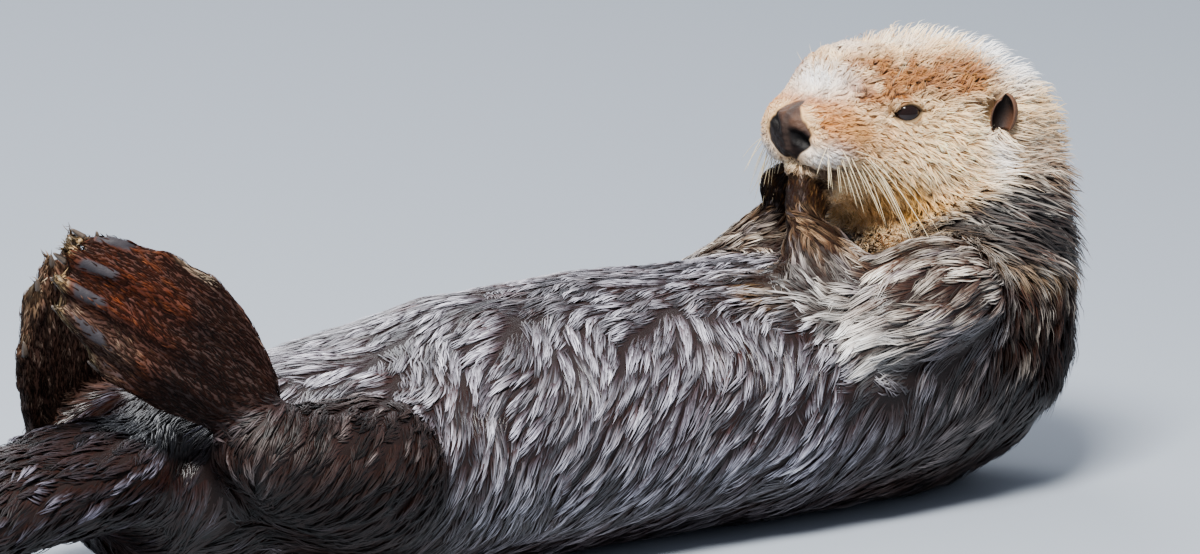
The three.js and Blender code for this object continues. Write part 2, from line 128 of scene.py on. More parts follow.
def unit(vectors):
    """Vectors scaled to length one."""
    return vectors / np.maximum(np.linalg.norm(vectors, axis=-1, keepdims=True), 1e-12)


def step(value, start, end):
    """0 before start, 1 past end, with a smooth rise between."""
    t = np.clip((value - start) / (end - start), 0, 1)
    return t * t * (3 - 2 * t)


def welded(name):
    """A node's vertices merged where they coincide, with its triangles."""
    places, tris = corners(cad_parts[name].data)
    _, first, same = np.unique(np.round(places, 6), axis=0, return_index=True, return_inverse=True)
    return places[first], same.ravel()[tris]


SWELL = 0.7 * MM
all_places, all_tris, tri_node, start = [], [], [], 0
for name in FILLED:
    places, tris = welded(name)
    all_places.append(places + normals_of(places, tris) * SWELL)
    all_tris.append(tris + start)
    tri_node += [FLESH.index(name if name in FLESH else "head")] * len(tris)
    start += len(places)
solid_places, solid_tris = np.vstack(all_places), np.vstack(all_tris)
solid_tree = BVHTree.FromPolygons(solid_places.tolist(), solid_tris.tolist())

rough = bpy.data.meshes.new("rough")
rough.from_pydata(solid_places.tolist(), [], solid_tris.tolist())
rough_object = bpy.data.objects.new("rough", rough)
bpy.context.scene.collection.objects.link(rough_object)
remesh = rough_object.modifiers.new("whole", "REMESH")
remesh.mode = "VOXEL"
remesh.voxel_size = 2.7 * MM
merged = rough_object.evaluated_get(bpy.context.evaluated_depsgraph_get()).to_mesh()
base = bmesh.new()
base.from_mesh(merged)
bpy.data.objects.remove(rough_object)


def nearest_node(places):
    """Number of the flesh node whose surface is nearest to each place."""
    find = solid_tree.find_nearest
    return np.array([tri_node[find(p)[2]] for p in places.tolist()])


# ------------------------------------------------------------------ skin: smooth, finer on the head
# The facets of the solids are smoothed away, most on the trunk and least on paws and feet. The
# head's mesh is halved once, and again round the eyes, the nose and the mouth.

SMOOTHING = {"head": 26, "nose": 5, "lower_jaw": 10, "forepaw": 6, "hind_foot": 7, "forearm": 24,
             "upper_arm": 34, "neck": 60, "tail_tip": 20}


def by_name(table, default):
    """A value for each flesh node, from a table of the starts of their names."""
    out = []
    for name in FLESH:
        hits = [value for key, value in table.items() if name.startswith(key)]
        out.append(hits[0] if hits else default)
    return np.array(out, float)


def from_bmesh(source):
    """Vertex places and triangles of a bmesh, as arrays."""
    mesh = bpy.data.meshes.new("scratch")
    source.to_mesh(mesh)
    out = corners(mesh)
    bpy.data.meshes.remove(mesh)
    return out


places, tris = from_bmesh(base)
edges = edges_of(tris)
node = nearest_node(places)
rounds = averaged(averaged(by_name(SMOOTHING, 50)[node], edges), edges)[:, 0]
for turn in range(max(SMOOTHING.values())):
    mean = averaged(places, edges)
    places += np.where(rounds > turn, 0.5, 0)[:, None] * (mean - places)
base.verts.ensure_lookup_table()
for vertex, place in zip(base.verts, places.tolist()):
    vertex.co = place


def refine(source, wanted):
    """Halves every edge whose middle, in the head's frame, is wanted."""
    source.edges.ensure_lookup_table()
    middles = np.array([(e.verts[0].co + e.verts[1].co) / 2 for e in source.edges])
    chosen = np.flatnonzero(wanted(in_head(in_body(middles))))
    halved = [source.edges[i] for i in chosen]
    bmesh.ops.subdivide_edges(source, edges=halved, cuts=1, use_grid_fill=True)


def around(local, centre, reach):
    """True within a reach of a place in the head's frame (forward, aside, height)."""
    return np.linalg.norm(local - np.array(centre), axis=1) < reach


EYE_AT = {side: np.array([-x, y, z]) for side, (x, y, z) in EYE.items()}


def round_eyes(local, reach):
    """True within a reach of either eye."""
    return around(local, EYE_AT["left"], reach) | around(local, EYE_AT["right"], reach)


NOSE_AT = np.array([134.0, 0.0, 226.0])
refine(base, lambda p: (p[:, 0] > 10) & (p[:, 2] > 176) & (p[:, 2] < 262))
refine(base, lambda p: around(p, NOSE_AT, 27) | round_eyes(p, 17))
refine(base, lambda p: round_eyes(p, 14))
bmesh.ops.triangulate(base, faces=base.faces[:])
places, tris = from_bmesh(base)
base.free()
edges = edges_of(tris)
node = nearest_node(places)
member = np.zeros((len(places), len(FLESH)))
member[np.arange(len(places)), node] = 1
for _ in range(7):
    member = 0.3 * member + 0.7 * averaged(member, edges)


def share(*starts):
    """How far each skin vertex belongs to the nodes whose names start so, 0 to 1."""
    return member[:, [any(n.startswith(s) for s in starts) for n in FLESH]].sum(axis=1)


# ------------------------------------------------------------------ skin: drawn in by the coat
# The skin lies under the solids' surface by the depth of the coat: nothing on the nose pad, a
# millimetre or two on muzzle, paws and feet, and most on the crown, the nape and the rump.

mm_places = in_body(places)
local = in_head(mm_places)
on_head = share("head", "lower_jaw", "nose")
from_nose = np.linalg.norm(local - NOSE_AT, axis=1)
head_depth = (1.2 + 2.0 * step(from_nose, 16, 45) + 4.4 * step(from_nose, 55, 105)
              + 1.6 * step(local[:, 2], 248, 268))
head_depth *= step(from_nose, 12, 22)
for side in EYE_AT:
    head_depth *= 0.35 + 0.65 * step(np.linalg.norm(local - EYE_AT[side], axis=1), 12, 26)
depth = (on_head * head_depth + share("neck") * 8.5 + share("chest", "belly") * 4.6
         + share("hips", "tail") * 4.8 + share("upper_arm", "forearm") * 4.6
         + share("forepaw") * 1.8 + share("thigh", "shank") * 4.6 + share("hind_foot") * 0.7)
depth *= 0.35 + 0.65 * step(mm_places[:, 2], 1, 14)
for _ in range(4):
    depth = averaged(depth, edges)[:, 0]
places -= normals_of(places, tris) * ((depth + SWELL / MM) * MM)[:, None]
for turn in range(6):
    hold = np.where(share("hind_foot", "forepaw", "nose") > 0.4, turn < 2, 1)
    places += 0.5 * hold[:, None] * (averaged(places, edges) - places)
CLEAR = 0.4 * MM  # of the floor
places[:, 2] = np.maximum(places[:, 2], CLEAR)

# ------------------------------------------------------------------ skin: features
# Lids round the eyes, nostrils, the mouth's line, whisker pads, folds of loose skin at the arms,
# and toe ridges and pads on the flippers, each pushed in or out in place.

SOLE = {
    "left": {"root": (-314, -90, 136), "toes": (-0.667, 0.47, 0.58), "sole": (-0.45, -0.87, 0.2),
             "hand": -1},
    "right": {"root": (-330, 66, 92), "toes": (-0.25, -0.4, 0.88), "sole": (-0.2, 0.88, 0.36),
              "hand": 1},
}
TOES = [
    [(-14, -18), (14, -24), (46, -31), (88, -30)],
    [(-14, -7), (24, -11), (72, -17), (124, -16)],
    [(-14, 3), (26, 6), (78, 3), (134, -3)],
    [(-14, 13), (24, 24), (76, 25), (140, 10)],
    [(-14, 22), (16, 42), (66, 53), (138, 28)],
]


def value_noise(points, size, seed=0):
    """Smooth noise, -1 to 1: random values on a cubic grid of the given size, blended between."""
    cell = points / size
    low_corner = np.floor(cell).astype(np.int64)
    f = cell - low_corner
    f = f * f * (3 - 2 * f)
    total = np.zeros(len(points))
    for corner in range(8):
        offset = np.array([corner & 1, corner >> 1 & 1, corner >> 2 & 1])
        grid = low_corner + offset
        mixed = (grid[:, 0] * 73856093 ^ grid[:, 1] * 19349663 ^ grid[:, 2] * 83492791
                 ^ seed * 2654435)
        mixed = (mixed ^ mixed >> 13) * 1274126177
        random = (mixed >> 7 & 65535) / 32767.5 - 1
        weight = np.where(offset == 1, f, 1 - f).prod(axis=1)
        total += weight * random
    return total


def blob(points, centre, radii):
    """1 at a centre, falling to 0 past an ellipsoid of the given radii."""
    off = (points - np.array(centre, float)) / np.array(radii, float)
    return np.exp(-np.sum(off ** 2, axis=1))


def both(centre, radii):
    """The blobs at a place of the head and at its mirror image, added."""
    return sum(blob(local, (centre[0], centre[1] * hand, centre[2]), radii) for hand in (-1, 1))


def along_line(points, start_place, end_place):
    """How far along a line each point lies, 0 to 1, and its distance from the line."""
    a, b = np.array(start_place, float), np.array(end_place, float)
    t = np.clip(((points - a) @ (b - a)) / ((b - a) @ (b - a)), 0, 1)
    return t, np.linalg.norm(points - (a + t[:, None] * (b - a)), axis=1)


def on_foot(points, side):
    """Along the toes, toward the outer toe, and out of the sole, from a flipper's root."""
    facts = SOLE[side]
    ahead = unit(np.array(facts["toes"], float))
    out = np.array(facts["sole"], float)
    out = unit(out - ahead * (out @ ahead))
    outer = -facts["hand"] * np.cross(ahead, out)
    rel = points - np.array(facts["root"], float)
    return np.column_stack([rel @ ahead, rel @ outer, rel @ out]), np.array([ahead, outer, out])


def toe_facts(flat):
    """For places on a flipper: nearness to the nearest toe's ridge, 0 to 1, and how far short of
    the line through the toes' tips the place is."""
    best = np.full(len(flat), 1e3)
    for ray in TOES:
        ray = np.array(ray, float)
        away = np.abs(flat[:, 1] - np.interp(flat[:, 0], ray[:, 0], ray[:, 1]))
        best = np.minimum(best, away)
    tips = np.array([ray[-1][0] for ray in TOES], float)
    across = np.array([ray[-1][1] for ray in TOES], float)
    edge = np.interp(flat[:, 1], across, tips)
    return np.exp(-(best / 4.6) ** 2), edge - flat[:, 0]


def refresh():
    """Places in the body's and the head's frames, and normals, after a change of shape."""
    body_mm = in_body(places)
    return body_mm, in_head(body_mm), normals_of(places, tris)


WEB_LINE = 21  # toward this the web between the outer two toes is drawn together
mm_places, local, normals = refresh()
for side, foot_share in (("left", share("hind_foot_left")), ("right", share("hind_foot_right"))):
    flat, foot_axes = on_foot(mm_places, side)
    ridge, short = toe_facts(flat)
    push = (2.0 * ridge - 0.9 * step(short, 8, 30)) * step(flat[:, 0], 8, 40)
    pads = step(ridge, 0.2, 0.8) * step(short, 8, 15) * step(41 - short, 0, 8) * (flat[:, 2] > 0)
    push = push + 1.8 * pads
    places += normals * (push * foot_share * step(foot_share, 0.4, 0.9) * MM)[:, None]
    to_web = WEB_LINE - flat[:, 1]
    between = np.exp(-((flat[:, 0] - 139) / 14) ** 2) * step(15 - np.abs(to_web), 0, 9)
    places += (to_web * 0.9 * between * foot_share * MM)[:, None] * foot_axes[1]

# loose folds: along the flank below the arm, across the throat of the elbow, and on the chest
FOLDS = [((172, -92, 95), (95, -96, 128), 5, 3.0), ((205, -112, 100), (120, -104, 92), 6, 2.5),
         ((150, -60, 140), (108, -30, 152), 4, 3.0), ((135, -50, 146), (96, -14, 155), 4, 2.5),
         ((45, -40, 158), (64, -100, 100), 6, 2.0)]
mm_places, local, normals = refresh()
push = np.zeros(len(places))
for head_end, foot_end, wide, deep in FOLDS:
    t, gap = along_line(mm_places, head_end, foot_end)
    push -= deep * np.exp(-(gap / wide) ** 2) * np.sin(np.pi * (0.1 + 0.8 * t))
    push += 0.5 * deep * np.exp(-((gap - 2 * wide) / wide) ** 2)
push += 1.3 * value_noise(mm_places, 34, 5) * share("chest", "belly", "hips", "neck")
places += normals * (push * MM)[:, None]

# the muzzle: whisker pads either side of a shallow cleft, the lips' line, nostrils and nose pad
mm_places, local, normals = refresh()
forward, aside, height = local.T
roll = height - 225 - 0.5 * (aside + 3.5)  # the nostrils are tilted, low on the near side
lip = np.interp(np.abs(aside), [0, 14, 30, 44], [205, 203, 196, 190])
mouth = np.exp(-((height - lip) / 2.4) ** 2) * step(forward, 70, 88) * on_head
cleft = np.exp(-(aside / 1.8) ** 2) * step(212 - height, 0, 4) * step(forward, 112, 122)
cleft *= height > 200
NOSTRILS = ((-12.5, 5.4), (6.0, 4.2))  # how far aside, and how wide
nostril = np.zeros(len(places))
for place, wide in NOSTRILS:
    nostril += np.exp(-(((aside - place) / wide) ** 2 + (roll / 4.4) ** 2) ** 1.5) * (forward > 112)
half_pad = np.interp(height, [206, 211, 217, 224, 231, 238, 245], [4, 9, 15.5, 17, 13.5, 7.5, 3])
pad = step(half_pad + 1.3 * value_noise(mm_places, 4.5, 3) - np.abs(aside + 1.5), -0.6, 1.2)
pad *= step(height, 205, 208) * step(247 - height, 0, 3) * (forward > 112) * on_head
push = -3.2 * mouth - 1.8 * cleft - 4.2 * nostril - 0.3 * pad
push += 0.35 * pad * value_noise(mm_places, 2.2, 4)
wing = np.exp(-((np.abs(aside + 3) - 14) / 2.4) ** 2 - ((roll - 4.5) / 3) ** 2) * pad
push += 0.9 * wing
whisker_pad = both((121, 24, 221), (16, 15, 17))
push += 3.0 * whisker_pad * (1 - pad) * (1 - mouth)
push += 1.2 * sum(blob(local, at + (2, 0, 13), (8, 8, 8)) for at in EYE_AT.values())  # brow ridges
push += 5.5 * blob(local, (98, 0, 261), (13, 32, 13))  # the forehead's step
push -= 6.0 * blob(local, (121, 0, 252), (13, 32, 13))  # the dip of the snout below it
push -= 5.0 * both((17, 60, 227), (8, 14, 9))  # under the ears
push += 3.4 * both((-38, 46, 212), (32, 30, 30))  # the back of the cheeks
crown_top = step(height, 244, 262) * step(84 - forward, 0, 24) * step(forward, -60, -20)
push -= 3.6 * on_head * crown_top
places += normals * (push * MM)[:, None]


def head_to_body(points):
    """Places in the body's frame from forward, aside and height in the head's frame."""
    return off_head(np.column_stack([-points[:, 0], points[:, 1], points[:, 2]]))


# lids: the skin stands just proud of the eyeball and opens in an almond shape
mm_places, local, normals = refresh()
lid = np.zeros(len(places))
opened = np.zeros(len(places), bool)
for side, hand in (("left", -1), ("right", 1)):
    out = unit(np.array([0.46, hand * 0.88, 0.12]))
    along = unit(np.cross(out, (0, 0, 1)) * hand)
    upward = unit(np.cross(along, out) * hand)
    upward = upward if upward[2] > 0 else -upward
    rel = local - EYE_AT[side]
    far = np.linalg.norm(rel, axis=1)
    facing = rel @ out / np.maximum(far, 1e-6)
    a = np.degrees(np.arctan2(rel @ along, rel @ out))
    b = np.degrees(np.arctan2(rel @ upward, rel @ out)) + 0.08 * a
    rim = np.where(b > 0, 29.0, 25.0) * np.clip(1 - (a / 62) ** 2, 0, 1) ** 0.7
    beyond = np.abs(b) - rim
    inside = (facing > 0.2) & (beyond < 0) & (np.abs(a) < 62) & (far < 16)
    near = (facing > 0.05) & (far < 19)
    seat = EYE_RADIUS + 0.5 + 1.1 * step(beyond, 0, 5)
    raised = np.maximum(far, seat)
    pulled = raised + (seat - raised) * np.exp(-np.maximum(beyond, 0) / 9)
    target = np.where(inside, EYE_RADIUS - 2.6, pulled)
    change = np.where(near, target - far, 0)
    back = rel / np.maximum(far, 1e-6)[:, None] * change[:, None]
    moved = head_to_body(local + back)
    places[near] = ((moved + SHIFT) * MM)[near]
    lid = np.maximum(lid, near * np.exp(-(np.maximum(beyond, 0) / 9) ** 2))
    opened |= inside
mm_places, local, normals = refresh()

# ------------------------------------------------------------------ ears
# Each ear is a small cup: a leaf curled about its own upright axis, open forward and outward, with
# a rolled rim. It is part of the skin.

EAR_AT = {"left": np.array([14.0, -60.0, 227.0]), "right": np.array([14.0, 60.0, 227.0])}
ear_places, ear_tris, ear_dark = [], [], []


def ear_cup(side, hand):
    """Rings of a curled leaf: radius falls as a half ellipse toward the top, two walls deep."""
    rings, across, thick = 17, 25, 1.5
    centre = EAR_AT[side] + (1.5, 0, 0)
    out = unit(np.array([0.32, hand * 0.95, 0.0]))
    front = unit(np.array([0.95, -hand * 0.32, 0.0]))
    up = unit(np.array([-0.12, hand * 0.05, 1.0]))
    walls = []
    for inset in (0.0, thick):
        v = np.linspace(0, 1, rings)[:, None]
        u = np.linspace(-1, 1, across)[None, :]
        full = np.sqrt(np.clip(1 - ((v - 0.42) / 0.6) ** 2, 0.02, 1))
        around_it = np.radians(-52 + u * 92)
        curl = 1 - 0.3 * step(u, 0.5, 1) - 0.12 * step(-u, 0.6, 1)
        wide = (9.2 * full - inset) * curl
        lift = (v - 0.5) * 20 + 2.2 * np.cos(around_it) * v
        shape = (centre[None, None] - wide[..., None] * np.cos(around_it)[..., None] * front
                 + wide[..., None] * np.sin(around_it)[..., None] * out
                 + lift[..., None] * up + (3.6 * full)[..., None] * out)
        walls.append(shape.reshape(-1, 3))
    points = np.vstack(walls)
    count = rings * across
    faces = []
    for r in range(rings - 1):
        for c in range(across - 1):
            p = r * across + c
            quad = (p, p + 1, p + across + 1, p + across)
            faces += [(quad[0], quad[1], quad[2]), (quad[0], quad[2], quad[3])]
            q = [i + count for i in quad]
            faces += [(q[2], q[1], q[0]), (q[3], q[2], q[0])]
    rim = ([c for c in range(across)] + [r * across + across - 1 for r in range(1, rings)]
           + [(rings - 1) * across + c for c in range(across - 2, -1, -1)]
           + [r * across for r in range(rings - 2, 0, -1)])
    for i, p in enumerate(rim):
        q = rim[(i + 1) % len(rim)]
        faces += [(p, p + count, q + count), (p, q + count, q)]
    faces = np.array(faces)
    if hand > 0:
        faces = faces[:, ::-1]
    # the inner wall is marked for painted shade: darkest at the top and front, less low at the back
    lower_back = (step(1 - v, 0.25, 0.8) * step(u, -0.3, 0.6)).ravel()
    dark = np.concatenate([np.zeros(count), 1 + lower_back])
    return head_to_body(points), faces, dark


# ------------------------------------------------------------------ lie of the coat
# Each part of the body has the direction its hair points in. The directions are blended over the
# skin, laid into its surface and turned a little by slow noise, which gives the wet coat its waves.

LIE = {
    "neck": (-0.25, -0.12, -1.0), "chest": (-0.8, 0, -0.35), "belly": (-0.7, 0, -0.4),
    "hips": (-1, 0, -0.1), "tail": (-1, -0.15, -0.2),
    "upper_arm_left": (-1.0, 0.02, -0.16), "forearm_left": (-0.05, 0.7, 0.7),
    "forepaw_left": (0.62, 0.55, 0.5), "upper_arm_right": (-1, 0, -0.1),
    "forearm_right": (0.42, -0.5, 0.7), "forepaw_right": (-0.3, -0.5, 0.75),
    "thigh_left": (-0.75, -0.2, -0.5), "shank_left": (-0.6, -0.2, -0.72),
    "thigh_right": (-0.8, 0.2, -0.3), "shank_right": (-0.8, 0.1, -0.3),
}


def laid(vectors, on):
    """The part of each vector that lies in the surface, at length one."""
    return unit(vectors - on * np.sum(vectors * on, axis=1, keepdims=True))


flow = np.zeros_like(places)
for start_name, direction in LIE.items():
    flow += share(start_name)[:, None] * np.array(direction, float)
off_line = np.clip(mm_places[:, 1] / 110, -1, 1)
sideways = share("chest", "belly", "hips")[:, None] * np.abs(off_line)[:, None]
flow += sideways * (np.sign(off_line)[:, None] * (0, 0.35, 0) + (0.15, 0, -0.9))
for side in ("left", "right"):
    _, axes = on_foot(mm_places[:1], side)
    flow += share("hind_foot_" + side)[:, None] * axes[0]
away = local - (NOSE_AT + (6, 0, 4))
away[:, 2] -= 26 * step(-away[:, 0], 20, 90)
away = head_to_body(away) - PIVOT
flow += on_head[:, None] * unit(away)
for side in EYE_AT:
    rel = local - EYE_AT[side]
    far = np.linalg.norm(rel, axis=1, keepdims=True)
    from_eye = head_to_body(rel) - PIVOT
    flow += on_head[:, None] * unit(from_eye) * 1.6 * np.exp(-(far / 15) ** 2)
flow = laid(flow, normals)
for _ in range(8):
    flow = laid(0.4 * flow + 0.6 * averaged(flow, edges), normals)
wave = (value_noise(mm_places, 46, 11) * 0.75 + value_noise(mm_places, 19, 12) * 0.4)
wave *= 0.45 + 0.4 * share("chest", "belly", "hips") - 0.2 * share("hind_foot", "forepaw")
crossed = np.cross(normals, flow)
flow = unit(flow * np.cos(wave)[:, None] + crossed * np.sin(wave)[:, None])

skin_tree = KDTree(len(places))
for number, place in enumerate(places.tolist()):
    skin_tree.insert(place, number)
skin_tree.balance()


def nearest(points):
    """Number of the skin vertex nearest to each point."""
    find = skin_tree.find
    return np.array([find(p)[1] for p in points.tolist()])


def combed(values, reach, times):
    """Values spread along the lie of the coat: each place takes the mean of itself and of the
    places one reach ahead and behind, the reach doubling each time."""
    ahead, behind = nearest(places + flow * reach * MM), nearest(places - flow * reach * MM)
    for _ in range(times):
        values = (values + values[ahead] + values[behind]) / 3
        ahead, behind = ahead[ahead], behind[behind]
    return values


# furrows: long wandering lines along the lie, where the wet coat parts and shows its dark depth
grain = np.random.default_rng(3).normal(0, 1, len(places))
grain = averaged(averaged(grain, edges), edges)[:, 0]
strand = combed(grain, 3.2, 3)
strand = averaged(strand, edges)[:, 0]
level = averaged(averaged(np.abs(strand), edges), edges)[:, 0].mean()
strand = strand / (level * 1.25)
furrow = step(-strand, 0.55, 1.25)
crest = step(strand, 0.3, 1.3)

# ------------------------------------------------------------------ markings
# Colours by place: the coat's colour, the dark one at its roots, and the tips'. Skin and coat take
# them from the same values. Colours are written as sRGB and turned linear once.


def linear(code):
    """Linear colour from an sRGB hex code."""
    raw = np.array([int(code[i:i + 2], 16) for i in (1, 3, 5)]) / 255
    return np.where(raw <= 0.04045, raw / 12.92, ((raw + 0.055) / 1.055) ** 2.4)


def painted(base_colour, amount, code):
    """Colour mixed toward a code by an amount at each place."""
    amount = np.clip(amount, 0, 1)[:, None]
    return base_colour * (1 - amount) + linear(code) * amount


layers = {}


def mark(amount, **shades):
    """Mixes layers toward codes by an amount at each place, times a share if a shade has one."""
    for layer, shade in shades.items():
        part, code = shade if isinstance(shade, tuple) else (1, shade)
        layers[layer] = painted(layers[layer], part * amount, code)


patchy = value_noise(mm_places, 30, 1)
fine = value_noise(mm_places, 9, 2)
specks = value_noise(mm_places, 4.5, 3)
up = mm_places[:, 2]
forward, aside, height = local.T
layers["coat"] = np.tile(linear("#5d5862"), (len(places), 1))
mark(0.4 + 0.5 * patchy, coat="#403a40")
mark(0.6 * step(fine + 0.6 * patchy, 0.1, 0.9), coat="#4d2a1c")
layers["deep"] = np.tile(linear("#27110a"), (len(places), 1))
layers["tips"] = painted(layers["coat"], np.full(len(places), 0.88), "#d9d7e6")

# the neck and the back of the head, behind a line that slants from the ear to the chin
nape_line = np.interp(forward, [-110, -66, -20, 24, 49, 62, 75, 84],
                      [168, 174, 184, 189, 176, 166, 150, 100])
below_line = nape_line + 7 * patchy + 3 * fine - height
sharp = step(forward, -20, 20)
behind = on_head * step(below_line, -8 + 6 * sharp, 22 - 14 * sharp)
neck = np.clip(share("neck") + share("chest") * step(mm_places[:, 0] + 18 * patchy, 188, 262), 0, 1)
mark(neck, coat="#3c1e12")
mark(neck * step(fine, 0.0, 0.6), coat=(0.5, "#6b4534"))
mark(neck, tips="#faf0e4")
# the neck painted darker toward the bottom, under the head: painted shade
neck_low_shade = neck * step(190 - up, 0, 50)
mark(neck_low_shade, coat=(0.6, "#22100a"), tips=(0.45, "#8f7866"))
arms = share("upper_arm", "forearm")
mark(arms, coat=(0.9, "#5f4232"))
mark(share("forearm"), coat=(0.7, "#a8937f"))
# the arms painted near-black toward the bottom, with dark tips there: painted shade low down
low_arm_shade = step(104 - up + 12 * patchy + 0.28 * (mm_places[:, 0] - 190), -10, 16)
mark(arms * low_arm_shade, coat="#180f0e")
mark(arms * (1 - low_arm_shade), tips="#f4e8da")
mark(arms * low_arm_shade, tips=(0.95, "#4a454d"))
# a white band along the lower edge of the near elbow: painted highlight
along_band, from_band = along_line(mm_places, (127, -58, 146), (161, -112, 107))
elbow = np.clip(np.exp(-(from_band / 15) ** 2) * (0.5 + 0.9 * along_band), 0, 1)
mark(elbow, coat="#efe9e2", tips="#ffffff")
legs = share("thigh", "shank")
# the legs' dark brown fur painted darker still, and darker again toward the bottom, tips too:
# partly the fur's own colour, partly painted shade
mark(legs, coat=(0.97, "#1d110d"))
mark(legs * step(92 - up, -14, 12), coat="#140c0a")
mark(legs, tips=(0.92, "#776862"))
mark(legs * step(96 - up, -14, 12), tips=(0.9, "#2c2120"))
paws = np.clip(share("forepaw") + 0.9 * share("forearm") * step(up, 140, 160), 0, 1)
mark(paws, coat="#50341a")
mark(paws * step(fine, 0, 0.5), coat="#22130b")
mark(paws, tips="#87643c")
far_edge = share("forearm_right") * blob(mm_places, (170, 34, 165), (12, 14, 30))
mark(far_edge, coat=(1.3, "#c4ad93"), tips=(1.3, "#f2e4d2"))
tail = share("tail")
# the tail and rump painted near-black, darker again low at the back: partly the dark fur, partly
# painted shade
rear = np.clip(tail + share("hips") * step(-270 - mm_places[:, 0], -30, 40), 0, 1)
mark(rear, coat=(0.97, "#180f10"), tips=(0.92, "#6f6b7c"))
low_rear_shade = step(98 - up, 0, 34) * step(-110 - mm_places[:, 0], 0, 70)
mark(low_rear_shade, coat=(0.85, "#120b0a"), tips=(0.85, "#3d3437"))
fold_gold = (blob(mm_places, (128, -42, 146), (22, 20, 9))
             + blob(mm_places, (112, -66, 138), (16, 16, 8)))
mark(fold_gold * (1 - arms) * (0.6 + 0.5 * fine), coat="#8a6b34")
# the chest, neck and near upper arm painted near-black toward the bottom, below the elbow: painted
# shade
low_chest_shade = share("chest", "neck", "upper_arm_left") * step(118 - up, 0, 44)
low_chest_shade *= step(mm_places[:, 0], 110, 190)
mark(low_chest_shade, coat=(0.9, "#1a100d"), tips=(0.8, "#5b4e4d"))
under = step(56 - up, 0, 40)
mark(0.7 * under * (1 - on_head), coat="#3a2a24", tips="#6b5a52")

foot = share("hind_foot")
mark(foot, coat="#451f0b")
mark(foot * step(fine, 0.0, 0.7), coat=(0.6, "#2c1710"))
mark(foot, tips="#5e3c2a")
pad_mask = np.zeros(len(places))
for side in ("left", "right"):
    flat, _ = on_foot(mm_places, side)
    ridge, short = toe_facts(flat)
    mine = share("hind_foot_" + side)
    heel = step(56 - flat[:, 0] + 8 * fine, -8, 14)
    rust = np.exp(-((flat[:, 0] - 90) / 35) ** 2 - ((flat[:, 1] - 15) / 27) ** 2) * (flat[:, 2] > 0)
    mark(mine * rust, coat="#521f08", tips="#6f3819")
    grey_toe = step(-4 - flat[:, 1], -8, 12) * step(flat[:, 0], 50, 80)
    mark(mine * grey_toe, coat=(0.6, "#5c4a40"), tips=(0.7, "#a08c78"))
    mark(mine * heel, coat=(0.95, "#0f0705"), tips=(0.9, "#2e1f18"))
    web = step(0.5 - ridge, 0, 0.4) * step(flat[:, 0], 20, 50)
    mark(mine * web, coat=(0.45, "#1f0f0b"))
    fringe = step(11 - short + 4 * fine, 0, 6)
    mark(mine * fringe, coat="#c7a676", tips="#fff0d2")
    # a narrow pale band along the flipper's outer edge: painted highlight
    side_highlight = mine * step(flat[:, 1], 44, 49)
    side_highlight *= step(flat[:, 0], 46, 56) * step(80 - flat[:, 0], 0, 10)
    mark(side_highlight, coat=(0.8, "#b9a88f"))
    sole = (flat[:, 2] > 0) * mine
    pads = step(ridge, 0.4, 0.65) * step(short, 12, 15) * step(39 - short, 0, 6)
    pads *= step(flat[:, 1], -30, -26) * sole
    pad_mask = np.maximum(pad_mask, pads)
    if side == "right":
        mark(mine, coat=(0.75, "#7a5a48"), tips=(0.7, "#a89078"))
    back_side = mine * (flat[:, 2] < -1)
    mark(back_side, coat=(0.8, "#4a332c"), tips=(0.8, "#8d776b"))
pad_mask = np.clip(pad_mask, 0, 1)

mark(on_head, coat="#fad59e", tips="#fff3dc", deep="#cf9e68")
tan = (both((87, 14, 257), (15, 17, 12)) + both((66, 31, 250), (24, 20, 12))
       + both((94, 22, 246), (15, 13, 11)) + both((36, 47, 248), (26, 20, 11))
       + 0.8 * both((84, 34, 243), (13, 10, 8)))
tan = np.clip(tan, 0, 1.1) * (0.95 + 0.7 * value_noise(mm_places, 8, 8) + 0.3 * patchy)
mark(on_head * tan, coat=(1.2, "#985d24"), tips=(0.9, "#d29c56"), deep=(1.2, "#5f3416"))
snout = (both((122, 26, 234), (15, 15, 19)) + 0.5 * both((101, 36, 222), (15, 14, 12))
         + 0.6 * both((116, 31, 220), (12, 12, 9)) + 0.9 * blob(local, (129, 0, 245), (12, 17, 9)))
snout *= 0.9 + 0.5 * value_noise(mm_places, 7, 9)
mark(on_head * snout, coat=(1.3, "#b87430"), tips=(1.1, "#d79a54"), deep="#8a4d1c")
amber = (both((70, 39, 175), (24, 24, 15)) + both((95, 31, 166), (15, 18, 14))
         + 0.5 * both((84, 34, 192), (14, 16, 8)))
amber *= 0.9 + 0.5 * fine
mark(on_head * amber, coat=(1.2, "#c28a2c"), tips="#e6bd6c", deep="#85501a")
cheek = both((112, 34, 222), (14, 20, 12)) + 0.6 * both((88, 44, 214), (14, 20, 10))
mark(on_head * cheek, coat=(0.65, "#cf9b5c"))
# the crown whitened toward its top, roots lightened too: partly pale fur, partly painted light from
# above
white = step(height - 8 * step(forward, 45, 75), 255, 266)
white += step(24 - forward, 0, 30) * step(height, 227, 244)
white += both((24, 66, 202), (9, 20, 16)) + 0.9 * both((128, 22, 211), (12, 14, 8))
white += blob(local, (114, 0, 252), (12, 24, 9)) + 0.6 * blob(local, (70, 40, 225), (20, 12, 10))
mark(on_head * white, coat="#fdfdff", tips="#ffffff", deep=(0.9, "#f6eee4"))
nape = on_head * step(22 - forward, 0, 30) * step(236 - height, -6, 46)
mark(nape, coat=(0.9, "#937a66"))
# brown behind the cheek's ruff, below the ear: painted shade
shade_under_ear = on_head * both((0, 58, 198), (15, 20, 20))
mark(shade_under_ear, coat=(0.8, "#7f6550"), deep="#4a3020")
mark(nape, tips=(0.5, "#efe4d6"), deep="#7a5b42")
mark(behind, coat="#3f2215")
mark(behind * step(fine, 0.0, 0.6), coat=(0.4, "#7d604c"))
mark(behind, tips="#f6ecdf", deep="#24130d")
